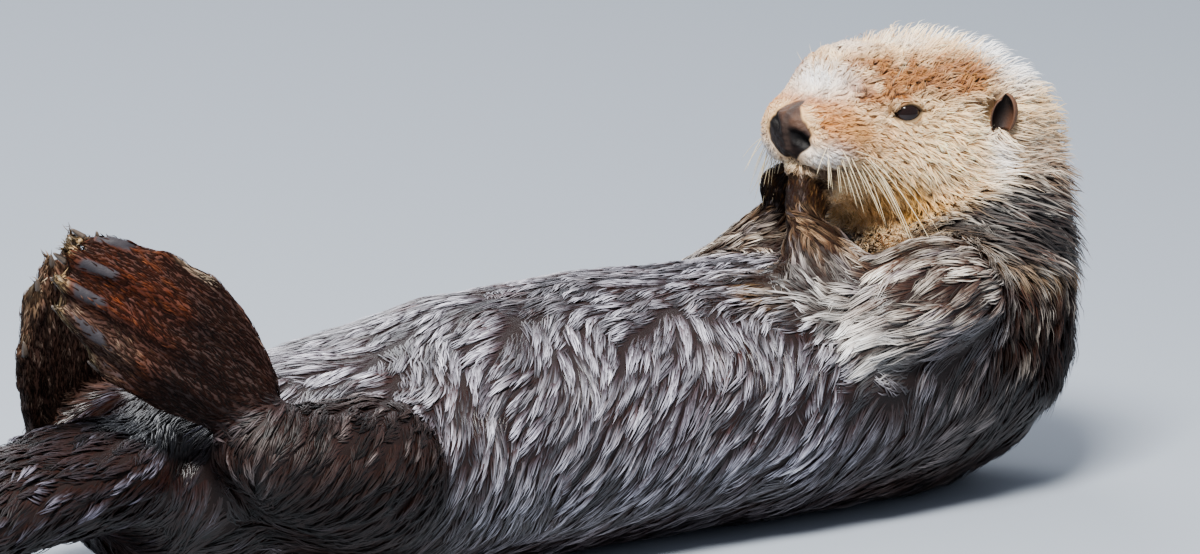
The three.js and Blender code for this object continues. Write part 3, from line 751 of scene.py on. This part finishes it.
# the front of the lower lip painted dark brown: painted shade below the mouth
lower_lip_shade = on_head * step(205 - height, 0, 4) * step(forward, 106, 116)
mark(lower_lip_shade, coat="#5a3d26", tips="#8f6f4e", deep="#2a180f")
chin = on_head * step(176 - height, -2, 10) * step(forward, 64, 78) * (1 - behind)
mark(chin, coat=(0.8, "#cf9c50"), tips=(0.6, "#ecc98c"), deep=(0.6, "#96642a"))
coat, tips, deep = layers["coat"], layers["tips"], layers["deep"]
dark_lid = np.clip(lid * 1.25 - 0.35, 0, 1)
# the coat and its tips darkened in the furrows: partly the dark underfur, partly painted shade in
# the partings
crack = furrow * (1 - on_head * (1 - behind))
coat = coat * (1 - 0.4 * crack)[:, None]
tips = tips * (1 - 0.3 * crack)[:, None]
face = on_head * (1 - behind)
tip_share = (face + (1 - face) * 0.9) * (1 - 0.62 * np.clip(neck + behind, 0, 1))
tip_share *= (1 - 0.7 * np.clip(legs + rear, 0, 1)
              - 0.3 * np.clip(foot + paws + arms * low_arm_shade, 0, 1))
gleam = crest * (1 - on_head) * (1 - foot) * (1 - neck)
gleam *= 1 - np.clip(legs + rear + low_rear_shade, 0, 1)
coat = painted(coat, 0.35 * gleam, "#c9c6cf")
body_part = np.clip(1 - on_head * (1 - behind) - foot, 0, 1)[:, None]
# under the body's coat the skin is painted near-black, darker than the roots, as painted shade
# between the locks
skin_colour = (0.55 * coat + 0.45 * deep) * (1 - body_part) + (0.3 * deep + 0.05 * coat) * body_part
skin_colour = painted(skin_colour, pad_mask, "#2a272b")
nose_colour = painted(np.tile(linear("#1d1310"), (len(places), 1)), step(roll, 3, 10), "#4a3428")
nose_ridge = step(3.4 - np.abs(aside + 3.5), 0, 2.5) * step(height, 210, 218)
nose_colour = painted(nose_colour, nose_ridge, "#3a2d27")
nose_colour = painted(nose_colour, 0.5 * step(specks, 0.1, 0.7), "#2a1d1a")
skin_colour = skin_colour * (1 - pad[:, None]) + nose_colour * pad[:, None]
# the nostrils' hollows painted near-black: painted shade in the openings
hollow = sum(np.exp(-((aside - place) / wide) ** 2 - ((roll + 1) / 6.5) ** 2)
             for place, wide in ((-12.5, 7), (6.5, 5.5)))
skin_colour = painted(skin_colour, pad * np.clip(hollow * 1.5 + nostril, 0, 1), "#080505")
# the mouth's line painted dark: painted shade in the crease of the lips
skin_colour = painted(skin_colour, mouth, "#1d1210")
# dark skin at each ear's hollow: painted shade
for ear in EAR_AT.values():
    skin_colour = painted(skin_colour, 1.2 * blob(local, ear, (4.6, 13, 7)), "#170c08")
skin_colour = painted(skin_colour, dark_lid, "#1b120e")
skin_colour = painted(skin_colour, opened.astype(float), "#0d0807")

# ------------------------------------------------------------------ skin: the finished mesh
# One mesh of body and ears, with the markings as a colour attribute and pores and hair as bump.


def joined_mesh(name, points, faces_of_three, colours):
    """Mesh from arrays of places, triangles and linear vertex colours."""
    mesh = bpy.data.meshes.new(name)
    mesh.vertices.add(len(points))
    mesh.vertices.foreach_set("co", np.ascontiguousarray(points, np.float32).ravel())
    mesh.loops.add(len(faces_of_three) * 3)
    mesh.loops.foreach_set("vertex_index", np.ascontiguousarray(faces_of_three, np.int32).ravel())
    mesh.polygons.add(len(faces_of_three))
    first_loops = np.arange(0, len(faces_of_three) * 3, 3, dtype=np.int32)
    mesh.polygons.foreach_set("loop_start", first_loops)
    mesh.update()
    mesh.polygons.foreach_set("use_smooth", np.ones(len(faces_of_three), bool))
    attribute = mesh.color_attributes.new("coat", "FLOAT_COLOR", "POINT")
    rgba = np.column_stack([np.clip(colours, 0, 1), np.ones(len(points))]).astype(np.float32)
    attribute.data.foreach_set("color", rgba.ravel())
    out = bpy.data.objects.new(name, mesh)
    bpy.context.scene.collection.objects.link(out)
    return out


def add(tree, kind, links=None, **values):
    """New shader node with its sockets set by name and its inputs linked from (node, output)."""
    made = tree.nodes.new(kind)
    for key, value in values.items():
        name = key.replace("_", " ")
        if hasattr(made, key):
            setattr(made, key, value)
        else:
            made.inputs[name].default_value = value
    for name, (source, output) in (links or {}).items():
        tree.links.new(source.outputs[output], made.inputs[name])
    return made


def surface(name, roughness, grain, grain_depth, ior_level=0.5, sheen=0.0):
    """Material: the colour attribute varied by fine noise, with noise bump of a given grain."""
    material = bpy.data.materials.new(name)
    material.use_nodes = True
    tree = material.node_tree
    shader = tree.nodes["Principled BSDF"]
    shader.inputs["Roughness"].default_value = roughness
    shader.inputs["Specular IOR Level"].default_value = ior_level
    shader.inputs["Sheen Weight"].default_value = sheen
    shader.inputs["Sheen Roughness"].default_value = 0.4
    colour = add(tree, "ShaderNodeAttribute", attribute_name="coat")
    where = add(tree, "ShaderNodeTexCoord")
    noise = add(tree, "ShaderNodeTexNoise", {"Vector": (where, "Object")},
                Scale=1 / grain, Detail=3.0)
    tone = add(tree, "ShaderNodeMapRange", {"Value": (noise, "Fac")}, To_Min=0.75, To_Max=1.25)
    mixed = add(tree, "ShaderNodeVectorMath", {0: (colour, "Color"), 1: (tone, "Result")},
                operation="MULTIPLY")
    tree.links.new(mixed.outputs["Vector"], shader.inputs["Base Color"])
    bump = add(tree, "ShaderNodeBump", {"Height": (noise, "Fac")},
               Strength=0.6, Distance=grain_depth)
    tree.links.new(bump.outputs["Normal"], shader.inputs["Normal"])
    return material


for side, hand in (("left", -1), ("right", 1)):
    cup, cup_tris, dark = ear_cup(side, hand)
    ear_tris.append(cup_tris + len(places) + sum(len(e) for e in ear_places))
    ear_places.append((cup + SHIFT) * MM)
    # the cup's inside is painted near-black, browner low at the back: painted shade in the ear's
    # hollow; the outside is its brown
    low_back = np.clip(dark - 1, 0, 1)[:, None]
    inner = linear("#130a07") * (1 - low_back) + linear("#4a2f20") * low_back
    shade = np.where(dark[:, None] > 0, inner, linear("#5b4030"))
    ear_dark.append(shade)
skin = joined_mesh("skin", np.vstack([places] + ear_places), np.vstack([tris] + ear_tris),
                   np.vstack([skin_colour] + ear_dark))
skin.data.materials.append(surface("otter_skin", 0.6, 0.8 * MM, 0.4 * MM, ior_level=0.2))
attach(skin, "root")
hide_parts(*FLESH, "ear_left", "ear_right")

# ------------------------------------------------------------------ coat: how it grows
# Numbers for each place on the skin: tufts per square millimetre, length, width, height of the
# tips over the skin, how far tufts gather into locks, how many make a lock, and their curl.

GROWTH = {  # by the start of a node's name: density, length, width, height, gathering, lock, curl
    "head": (0.74, 12, 0.7, 11.5, 0.62, 7, 0.9),
    "lower_jaw": (0.6, 8, 0.7, 4, 0.5, 6, 0.6),
    "nose": (0.8, 8, 0.7, 6, 0.4, 7, 0.6),
    "neck": (0.36, 18, 1.3, 12, 0.88, 11, 1.2),
    "chest": (0.182, 19, 1.27, 3.3, 0.66, 13, 0.7),
    "belly": (0.172, 19, 1.27, 3.3, 0.66, 13, 0.7),
    "hips": (0.175, 19, 1.3, 3.4, 0.66, 13, 0.7),
    "tail": (0.15, 19, 1.6, 4.8, 0.9, 13, 0.8),
    "upper_arm": (0.33, 25, 1.2, 4.2, 0.78, 18, 1.0),
    "forearm": (0.4, 15, 1.0, 4.2, 0.8, 12, 1.0),
    "forepaw": (0.5, 6, 0.8, 1.8, 0.4, 6, 0.3),
    "thigh": (0.22, 18, 1.4, 4.8, 0.88, 14, 0.8),
    "shank": (0.25, 16, 1.3, 4.8, 0.85, 12, 0.8),
    "hind_foot": (0.36, 7, 0.8, 1.7, 0.35, 6, 0.3),
}
grown = np.zeros((len(places), 7))
for start_name, facts in GROWTH.items():
    grown += share(start_name)[:, None] * np.array(facts, float)
neck_facts = np.array(GROWTH["neck"], float)
grown += behind[:, None] * (neck_facts - grown)
density, length, width, tall, gather, in_lock, curl = grown.T.copy()
short_face = step(126 - from_nose, 0, 96) * on_head  # 1 at the nose, 0 behind the eye
gather += on_head * (1 - behind) * np.clip(tan, 0, 1) * 0.35
curl += on_head * np.clip(tan, 0, 1) * 1.4
length *= 1 - 0.66 * short_face
tall *= 1 - 0.8 * short_face
width *= 1 - 0.3 * short_face
density *= 1 + 0.75 * short_face
for side in EYE_AT:
    close = on_head * np.exp(-(np.linalg.norm(local - EYE_AT[side], axis=1) / 17) ** 2)
    length *= 1 - 0.6 * close
    tall *= 1 - 0.7 * close
    width *= 1 - 0.3 * close
    density *= 1 + 0.6 * close
tall = np.minimum(tall, depth * 1.15 + 0.5) * (1 - 0.15 * crack)
bare_lid = np.clip(lid * 1.7 - 0.75, 0, 1)
density *= 1 - np.clip(1.6 * pad + 1.5 * opened + 2 * nostril + 1.5 * bare_lid, 0, 1)
density *= 1 - 0.9 * np.clip(pad_mask, 0, 1)
for ear in EAR_AT.values():
    ear_gap = np.linalg.norm((local - ear) / (7, 15, 9.5), axis=1)
    density *= step(ear_gap, 0.85, 1.05)
    before_ear = blob(local, ear + (18, 0, -2), (12, 14, 14))
    tall *= 1 - 0.6 * before_ear
    length *= 1 - 0.82 * before_ear
density *= 0.2 + 0.8 * step(mm_places[:, 2], 4, 34)
fringe_here = np.zeros(len(places))
for side in ("left", "right"):
    flat, _ = on_foot(mm_places, side)
    _, short = toe_facts(flat)
    fringe_here = np.maximum(fringe_here, share("hind_foot_" + side) * step(8 - short, 0, 5))
length *= 1 + 0.5 * fringe_here
density *= 1 + 0.8 * fringe_here

rng = np.random.default_rng(7)


def on_surface(points):
    """Points dropped on the skin: onto the plane that touches it at the nearest vertex."""
    at = nearest(points)
    off = np.sum((points - places[at]) * normals[at], axis=1, keepdims=True)
    return points - off * normals[at], at


edge_a, edge_b = places[tris[:, 1]] - places[tris[:, 0]], places[tris[:, 2]] - places[tris[:, 0]]
tri_area = np.linalg.norm(np.cross(edge_a, edge_b), axis=1) / 2 / MM ** 2
expected = tri_area * density[tris].mean(axis=1)
reach = np.cumsum(expected)
roots_wanted = int(reach[-1])
even = np.arange(roots_wanted) + rng.random(roots_wanted)
picks = np.searchsorted(reach, even * reach[-1] / roots_wanted)
picks = np.minimum(picks, len(tris) - 1)
mix = rng.dirichlet((1, 1, 1), roots_wanted)
roots = np.einsum("nk,nkc->nc", mix, places[tris[picks]])
root_at = tris[picks, mix.argmax(axis=1)]

# tufts gather to the locks whose middles are some of the roots
seed_share = (0.5 + crest[root_at] - 0.45 * crack[root_at]) / in_lock[root_at]
seeds = np.flatnonzero(rng.random(roots_wanted) < seed_share)
lock_tree = KDTree(len(seeds))
for number, place in enumerate((roots[seeds] + flow[root_at[seeds]] * 2 * MM).tolist()):
    lock_tree.insert(place, number)
lock_tree.balance()
few = 10
found = np.array([[hit[1] for hit in lock_tree.find_n(p, few)] for p in roots.tolist()])
seed_root, seed_at = roots[seeds], root_at[seeds]
toward = seed_root[found] - roots[:, None]
lengthwise = np.einsum("nkc,nc->nk", toward, flow[root_at])
crosswise = np.linalg.norm(toward - lengthwise[..., None] * flow[root_at][:, None], axis=2)
cost = np.sqrt(crosswise ** 2 + (lengthwise / 4.2) ** 2) / MM
lock = found[np.arange(roots_wanted), cost.argmin(axis=1)]
off_lock, next_lock = np.partition(cost, 1, axis=1)[:, :2].T
of_body = 1 - on_head[root_at] * (1 - behind[root_at])
parting = np.exp(-((next_lock - off_lock) / 2.0) ** 2) * of_body  # 1 on the line between two locks
lock_turn = rng.normal(0, 0.13, len(seeds))
seed_flow = unit(flow[seed_at] * np.cos(lock_turn)[:, None]
                 + np.cross(normals[seed_at], flow[seed_at]) * np.sin(lock_turn)[:, None])
seed_length = length[seed_at] * rng.uniform(0.8, 1.25, len(seeds))
lock_tone = rng.normal(0, 1, len(seeds))
lock_rise = rng.uniform(-1, 1, len(seeds))
lock_pale = rng.random(len(seeds))

STEPS = (0.0, 0.34, 0.68, 1.0)
guard = (rng.random(roots_wanted) < 0.1) * (on_head[root_at] * (1 - short_face[root_at]))
guard += 0.5 * (rng.random(roots_wanted) < 0.1) * neck[root_at]
own_length = length[root_at] * rng.uniform(0.75, 1.2, roots_wanted) * (1 + 0.45 * guard) * MM
swing = rng.normal(0, 0.16, roots_wanted)
sideways_at = np.cross(normals[root_at], flow[root_at])
own_flow = unit(flow[root_at] * np.cos(swing)[:, None] + sideways_at * np.sin(swing)[:, None])
bend = rng.normal(0, 1, roots_wanted) * curl[root_at] * 0.5 * MM
lock_bend = (rng.normal(0, 1, len(seeds)) * curl[seed_at] * 1.1 * MM)[lock]
pull = np.clip(gather[root_at] * rng.uniform(0.75, 1.1, roots_wanted), 0, 1) * (1 - 0.6 * guard)
crown = np.exp(-(off_lock / (2.2 + 1.6 * of_body)) ** 2)
top = 0.78 + 0.2 * rng.random(roots_wanted) + 0.14 * lock_rise[lock]
top = tall[root_at] * MM * (top + 0.85 * guard * rng.uniform(0.6, 1.35, roots_wanted))
stand = np.clip(0.25 + 1.1 * (1 - gather[root_at]), 0, 1) * on_head[root_at]
stand += 0.18 * (1 - on_head[root_at])
stand = np.clip(stand + 0.4 * (neck + behind)[root_at], 0, 1)
paths, vertex_at = [], []
for t in STEPS:
    own = roots + own_flow * (own_length * t)[:, None]
    own = own + sideways_at * (bend * math.sin(t * 3.4) + lock_bend * math.sin(t * 5.0))[:, None]
    goal = seed_root[lock] + seed_flow[lock] * (seed_length[lock] * MM * (0.2 + 0.8 * t))[:, None]
    down_line = np.sum((own - seed_root[lock]) * seed_flow[lock], axis=1, keepdims=True)
    goal += 0.6 * of_body[:, None] * (seed_root[lock] + seed_flow[lock] * down_line - goal)
    k = (pull * t ** 0.9)[:, None]
    dropped, at = on_surface(own * (1 - k) + goal * k)
    laid_flat = 0.62 * math.sin(math.pi * min(t * 0.8, 1)) + 0.1
    upright = t ** 0.8
    rise = top * ((1 - stand) * laid_flat * (0.55 + 0.65 * crown - 0.7 * parting) + stand * upright)
    rise = rise - (0.5 * MM if t == 0 else 0)
    lifted = dropped + normals[at] * rise[:, None]
    lifted[:, 2] = np.maximum(lifted[:, 2], 0.5 * MM)
    paths.append(lifted)
    vertex_at.append(at)

# tufts that would cross the hollow of an ear or the opening of an eye are left out
in_opening = np.zeros(roots_wanted, bool)
for path in paths[1:]:
    at_head = in_head(in_body(path))
    for side, hand in (("left", -1), ("right", 1)):
        from_cup = at_head - EAR_AT[side] - (0.5, 2 * hand, 0)
        in_opening |= np.linalg.norm(from_cup / (6.4, 16, 9), axis=1) < 1
        in_opening |= np.linalg.norm((at_head - EYE_AT[side]) / (10.5, 14, 5.2), axis=1) < 1

# ------------------------------------------------------------------ coat: the tufts as meshes
# A tuft is a thin tapering blade with a raised middle, three steps long. Tufts of one part of the
# body make one mesh. Each tuft has a small patch of its own on an unwrap of that part.

WIDE = (0.75, 1.0, 0.62)
half_width = width[root_at] * MM * 0.5 * rng.uniform(0.7, 1.25, roots_wanted) * (1 + 0.1 * guard)
tone = (0.12 + 0.08 * of_body) * rng.normal(0, 1, roots_wanted)
tone = np.exp(tone + 0.2 * lock_tone[lock] * (1 - 0.45 * on_head[root_at]))[:, None]
coat_tint = rng.uniform(0, 1, roots_wanted)[:, None] ** 2
pale = (tip_share[root_at] - lock_pale[lock]) * 4 + 0.5
pale = np.clip(pale, 0.08 + 0.42 * arms[root_at], 1)[:, None]
# tufts on the partings between locks are darkened: painted shade in the gaps
tone *= 1 - 0.94 * parting[:, None]
root_deep, root_coat = deep[root_at], coat[root_at] * tone
root_tips = root_coat * (1 - pale) + tips[root_at] * tone * pale
streak = coat_tint * (0.35 + 0.35 * of_body[:, None])
streak += 0.25 * pale * (of_body + neck[root_at] + behind[root_at])[:, None]
shades = [root_deep * 0.75, root_deep * 0.35 + root_coat * 0.65,
          root_coat * (1 - streak) + root_tips * streak, root_tips * 0.75 + root_coat * 0.25]

ring_points, ring_colours = [], []
for k in range(3):
    ahead = unit(paths[k + 1] - paths[k])
    across = unit(np.cross(ahead, normals[vertex_at[k]]))
    above = np.cross(across, ahead)
    half = (half_width * WIDE[k])[:, None]
    ring_points += [paths[k] - across * half, paths[k] + above * half * 0.55,
                    paths[k] + across * half]
    # each blade's edges are painted darker and its raised middle lighter: painted shade and
    # highlight across the blade
    rim = shades[k] * (0.88 - 0.3 * of_body)[:, None]
    ridge = shades[k] * (1.06 + 0.14 * of_body[:, None])
    ring_colours += [rim, ridge, rim]
ring_points.append(paths[3])
ring_colours.append(shades[3])
tuft_points = np.stack(ring_points, axis=1)  # tufts, 10 points, xyz
tuft_points[:, :, 2] = np.maximum(tuft_points[:, :, 2], CLEAR)
tuft_colours = np.stack(ring_colours, axis=1)
BLADE = np.array([[0, 1, 4], [0, 4, 3], [1, 2, 5], [1, 5, 4], [3, 4, 7], [3, 7, 6],
                  [4, 5, 8], [4, 8, 7], [6, 7, 9], [7, 8, 9]])
PATCH_SIZE = 0.003
PATCH = PATCH_SIZE * np.array([(c, r) for r in (-0.5, -0.17, 0.17) for c in (-0.5, 0, 0.5)]
                              + [(0, 0.5)])


def coat_piece(name, chosen, origin, axis, material):
    """Mesh of the chosen tufts. Its unwrap is the angle round an axis and the place along it."""
    chosen = np.flatnonzero(chosen & ~in_opening)
    count = len(chosen)
    points = tuft_points[chosen].reshape(-1, 3)
    faces = (BLADE[None] + 10 * np.arange(count)[:, None, None]).reshape(-1, 3)
    piece = joined_mesh(name, points, faces, tuft_colours[chosen].reshape(-1, 3))
    axis = unit(np.array(axis, float))
    first = unit(np.cross(axis, (0.31, 0.2, 0.93)))
    second = np.cross(axis, first)
    rel = in_body(roots[chosen]) - np.array(origin, float)
    turn_about = np.arctan2(rel @ second, rel @ first) / (2 * np.pi) + 0.5
    lengthwise = rel @ axis
    lengthwise = (lengthwise - lengthwise.min()) / max(np.ptp(lengthwise), 1e-6)
    centre = PATCH_SIZE + (1 - 2 * PATCH_SIZE) * np.column_stack([turn_about, lengthwise])
    uv = (centre[:, None] + PATCH[None]).reshape(-1, 2)[faces.ravel()]
    layer = piece.data.uv_layers.new(name="OFBake")
    layer.data.foreach_set("uv", np.clip(uv, 0, 1).astype(np.float32).ravel())
    piece.data.materials.append(material)
    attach(piece, "root")
    return piece


dark = surface("dark_fur", 0.5, 2.4 * MM, 0.05 * MM, ior_level=0.22)
dry = surface("dry_fur", 0.62, 2.0 * MM, 0.05 * MM, sheen=0.25)
wet = surface("wet_fur", 0.3, 2.4 * MM, 0.05 * MM, ior_level=0.3)
damp = surface("damp_fur", 0.6, 2.0 * MM, 0.05 * MM, ior_level=0.06)
owner = np.array([FLESH[i] for i in member[root_at].argmax(axis=1)])


def owned(*starts):
    """True for tufts whose roots belong to nodes with these starts of their names."""
    return np.array([n.startswith(starts) for n in owner])


root_mm = in_body(roots)
face_parts = owned("head", "lower_jaw", "nose")
head_local = in_head(root_mm)
head_origin = off_head([-30, 0, 215])[0]
on_left, on_face = head_local[:, 1] < 0, head_local[:, 0] > 28
PIECES = [
    ("coat_face_left", face_parts & on_left & on_face, "head_coat", dry),
    ("coat_face_right", face_parts & ~on_left & on_face, "head_coat", dry),
    ("coat_crown_left", face_parts & on_left & ~on_face, "head_coat", dry),
    ("coat_crown_right", face_parts & ~on_left & ~on_face, "head_coat", dry),
    ("coat_neck", owned("neck"), "body_coat", dark),
    ("coat_chest", owned("chest"), "body_coat", wet),
    ("coat_belly", owned("belly"), "body_coat", wet),
    ("coat_hips", owned("hips"), "body_coat", wet),
    ("coat_tail", owned("tail"), "body_coat", dark),
    ("coat_arm_left", owned("upper_arm_left"), "body_coat", wet),
    ("coat_arm_right", owned("upper_arm_right"), "body_coat", wet),
    ("coat_paw_left", owned("forearm_left", "forepaw_left"), "body_coat", damp),
    ("coat_paw_right", owned("forearm_right", "forepaw_right"), "body_coat", damp),
    ("coat_leg_left", owned("thigh_left", "shank_left"), "body_coat", dark),
    ("coat_leg_right", owned("thigh_right", "shank_right"), "body_coat", dark),
    ("coat_foot_left", owned("hind_foot_left"), "flipper_coat", damp),
    ("coat_foot_right", owned("hind_foot_right"), "flipper_coat", damp),
]
UNWRAP = {
    "coat_face": (head_origin, (-1, 0.14, 0)), "coat_crown": (head_origin, (-1, 0.14, 0)),
    "coat_neck": ((300, 0, 150), (0.2, 0, 1)), "coat_chest": ((150, 0, 80), (1, 0, 0)),
    "coat_belly": ((0, 0, 78), (1, 0, 0)), "coat_hips": ((-240, 0, 75), (1, 0, 0)),
    "coat_tail": ((-520, -50, 60), (1, 0.15, 0.2)),
    "coat_arm_left": ((170, -80, 130), (1, 0, -0.3)),
    "coat_arm_right": ((180, 70, 115), (1, 0, -0.5)),
    "coat_paw_left": ((110, -45, 160), (0, 0.3, 1)),
    "coat_paw_right": ((110, 10, 160), (0, -0.3, 1)),
    "coat_leg_left": ((-260, -90, 90), (-0.85, -0.2, 0.5)),
    "coat_leg_right": ((-265, 80, 78), (-1, 0.2, 0.1)),
    "coat_foot_left": ((-350, -62, 175), (-0.667, 0.47, 0.58)),
    "coat_foot_right": ((-345, 40, 140), (-0.25, -0.4, 0.88)),
}
for name, chosen, slot, material in PIECES:
    origin, axis = next(value for key, value in UNWRAP.items() if name.startswith(key))
    coat_piece(name, chosen, origin, axis, material)

# ------------------------------------------------------------------ eyes
# Near-black brown balls with a wet shine, in the places of the solids' eyeballs.


def plain(name, code, roughness, **inputs):
    """Material of one colour; other inputs of its shader are given by name."""
    material = bpy.data.materials.new(name)
    material.use_nodes = True
    shader = material.node_tree.nodes["Principled BSDF"]
    shader.inputs["Base Color"].default_value = (*linear(code), 1)
    shader.inputs["Roughness"].default_value = roughness
    for key, value in inputs.items():
        shader.inputs[key.replace("_", " ")].default_value = value
    return material


glossy = plain("eye_wet", "#140906", 0.08, Specular_IOR_Level=0.25, Coat_Weight=0.25,
               Coat_Roughness=0.02)
for side in ("left", "right"):
    ball = bmesh.new()
    bmesh.ops.create_uvsphere(ball, u_segments=40, v_segments=24, radius=EYE_RADIUS * MM)
    bmesh.ops.translate(ball, verts=ball.verts, vec=(off_head(EYE[side])[0] + SHIFT) * MM)
    for face in ball.faces:
        face.smooth = True
    mesh = bpy.data.meshes.new("eyeball_" + side)
    ball.to_mesh(mesh)
    ball.free()
    mesh.materials.append(glossy)
    eye = bpy.data.objects.new("eyeball_" + side, mesh)
    bpy.context.scene.collection.objects.link(eye)
    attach(eye, "root")
    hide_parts("eye_" + side)

# ------------------------------------------------------------------ whiskers and claws
# Tapering round bristles: rows on each whisker pad, a few over the eyes. The claws are short
# curved cones in the places of the solids' claws.


def bristles(name, lines, thick, colour_code, roughness, sides=5, rings=9):
    """Mesh of tapering round hairs, each along a curve of three control places in metres."""
    points, faces, colours = [], [], []
    base_colour = linear(colour_code)
    for start_place, middle_place, end_place, scale in lines:
        t = np.linspace(0, 1, rings)[:, None]
        line = start_place * (1 - t) ** 2 + 2 * middle_place * t * (1 - t) + end_place * t ** 2
        ahead = unit(np.gradient(line, axis=0))
        aside_of = unit(np.cross(ahead, (0.3, 0.2, 0.9)))
        above = np.cross(ahead, aside_of)
        first = sum(len(p) for p in points)
        angles = np.linspace(0, 2 * np.pi, sides, endpoint=False)
        radius = (thick * scale * (1 - t[:, 0]) ** 0.6 + 0.02 * MM)[:, None, None]
        ring = (aside_of[:, None] * np.cos(angles)[None, :, None]
                + above[:, None] * np.sin(angles)[None, :, None])
        points.append((line[:, None] + ring * radius).reshape(-1, 3))
        colours.append(np.repeat(base_colour[None] * (0.75 + 0.25 * t), sides, axis=0))
        for r in range(rings - 1):
            for s in range(sides):
                a, b = first + r * sides + s, first + r * sides + (s + 1) % sides
                faces += [(a, b, b + sides), (a, b + sides, a + sides)]
        for s in range(1, sides - 1):
            faces += [(first, first + s + 1, first + s)]
            last = first + (rings - 1) * sides
            faces += [(last, last + s, last + s + 1)]
    made = joined_mesh(name, np.vstack(points), np.array(faces), np.vstack(colours))
    made.data.materials.append(surface(name + "_finish", roughness, 1 * MM, 0.0001 * MM))
    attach(made, "root")
    return made


whisker_rng = np.random.default_rng(21)
whisker_lines = []
for hand in (-1, 1):
    for row in range(-1, 5):
        for number in range(6 if row >= 0 else 3):
            forward_at = 127 - 6.4 * number + whisker_rng.uniform(-1.5, 1.5)
            height_at = 215 - 3.0 * row - 1.3 * number
            aside_at = hand * (26 + 2.4 * number)
            guess = (off_head([-forward_at, aside_at, height_at]) + SHIFT) * MM
            place, at = on_surface(guess)
            reach_mm = (22 + 8.5 * number) * whisker_rng.uniform(0.6, 1.2)
            outward = normals[at][0]
            head_back = off_head([1.0, 0, 0])[0] - PIVOT
            aim = unit(outward * 0.85 + head_back * (0.25 + 0.09 * number)
                       + (0, 0, -0.5 - 0.05 * row) + whisker_rng.normal(0, 0.21, 3))
            sag = unit(aim + np.array([0, 0, -0.75]))
            middle = place[0] + aim * reach_mm * 0.5 * MM
            end = middle + sag * reach_mm * 0.5 * MM
            root = place[0] - outward * 0.6 * MM
            whisker_lines.append((root, middle, end, whisker_rng.uniform(0.7, 1)))
for hand in (-1, 1):
    for number in range(3):
        over_eye = off_head([-82 + 5 * number, hand * (35 - 1.5 * number), 249 + 2 * number])
        place, at = on_surface((over_eye + SHIFT) * MM)
        aim = unit(normals[at][0] + np.array([-0.15, 0, 0.35]))
        middle = place[0] + aim * 7 * MM
        end = middle + unit(aim + np.array([0.4, 0, -0.2])) * 7 * MM
        whisker_lines.append((place[0], middle, end, 0.6))
bristles("whiskers", whisker_lines, 0.27 * MM, "#efdcb4", 0.4)

for side in ("left", "right"):
    claw_lines = []
    for number in range(5):
        low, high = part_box("claw_%s_%d" % (side, number + 1))
        centre = (np.array(low) + np.array(high)) / 2
        _, axes = on_foot(mm_places[:1], side)
        foot_root = centre - axes[0] * 5.5 * MM
        tip = centre + (axes[0] * 4.2 + axes[2] * 1.6) * MM
        claw_lines.append((foot_root, centre + axes[0] * MM, tip, 1.0))
    claw_piece = bristles("claws_" + side, claw_lines, 2.3 * MM, "#4a3f36", 0.35,
                          sides=8, rings=8)
    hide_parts(*["claw_%s_%d" % (side, n + 1) for n in range(5)])

# ------------------------------------------------------------------ floor, light and camera
# A pale floor, a broad soft light from above in front, a weaker one from behind, and the view.

bpy.ops.mesh.primitive_plane_add(size=30, location=(0, 0, 0))
floor = bpy.context.object
floor.name = "floor"
floor.data.materials.append(plain("floor_plain", "#969ea9", 0.7))

world = bpy.data.worlds.new("soft_sky")
bpy.context.scene.world = world
world.use_nodes = True
world.node_tree.nodes["Background"].inputs["Color"].default_value = (0.78, 0.85, 1.0, 1)
world.node_tree.nodes["Background"].inputs["Strength"].default_value = 0.5


def area_light(name, place, target, size, power, colour):
    """Square area light at a place, turned to a target."""
    data = bpy.data.lights.new(name, "AREA")
    data.size, data.energy, data.color = size, power, colour
    lamp = bpy.data.objects.new(name, data)
    lamp.location = place
    lamp.rotation_mode = "QUATERNION"
    lamp.rotation_quaternion = (Vector(target) - Vector(place)).to_track_quat("-Z", "Y")
    bpy.context.scene.collection.objects.link(lamp)


area_light("key", (-0.9, -1.0, 2.5), (0.15, 0, 0.1), 0.9, 280, (1.0, 0.98, 0.94))
area_light("rim", (0.9, 1.9, 1.7), (0.2, 0, 0.15), 1.4, 40, (0.95, 0.97, 1.0))

back = Vector((-0.630, -0.751, 0.196)).normalized()
aim_at = Vector(((np.array([37.3, 7.8, 150.0]) + SHIFT) * MM).tolist())
camera_data = bpy.data.cameras.new("view")
camera_data.sensor_width = 36
camera_data.lens = 714
camera_data.clip_end = 100
camera_data.dof.use_dof = False
camera = bpy.data.objects.new("view", camera_data)
camera.location = aim_at + back * 14  # metres: far off, so that the view is nearly parallel
camera.rotation_mode = "QUATERNION"
camera.rotation_quaternion = (-back).to_track_quat("-Z", "Y")
bpy.context.scene.collection.objects.link(camera)
bpy.context.scene.camera = camera
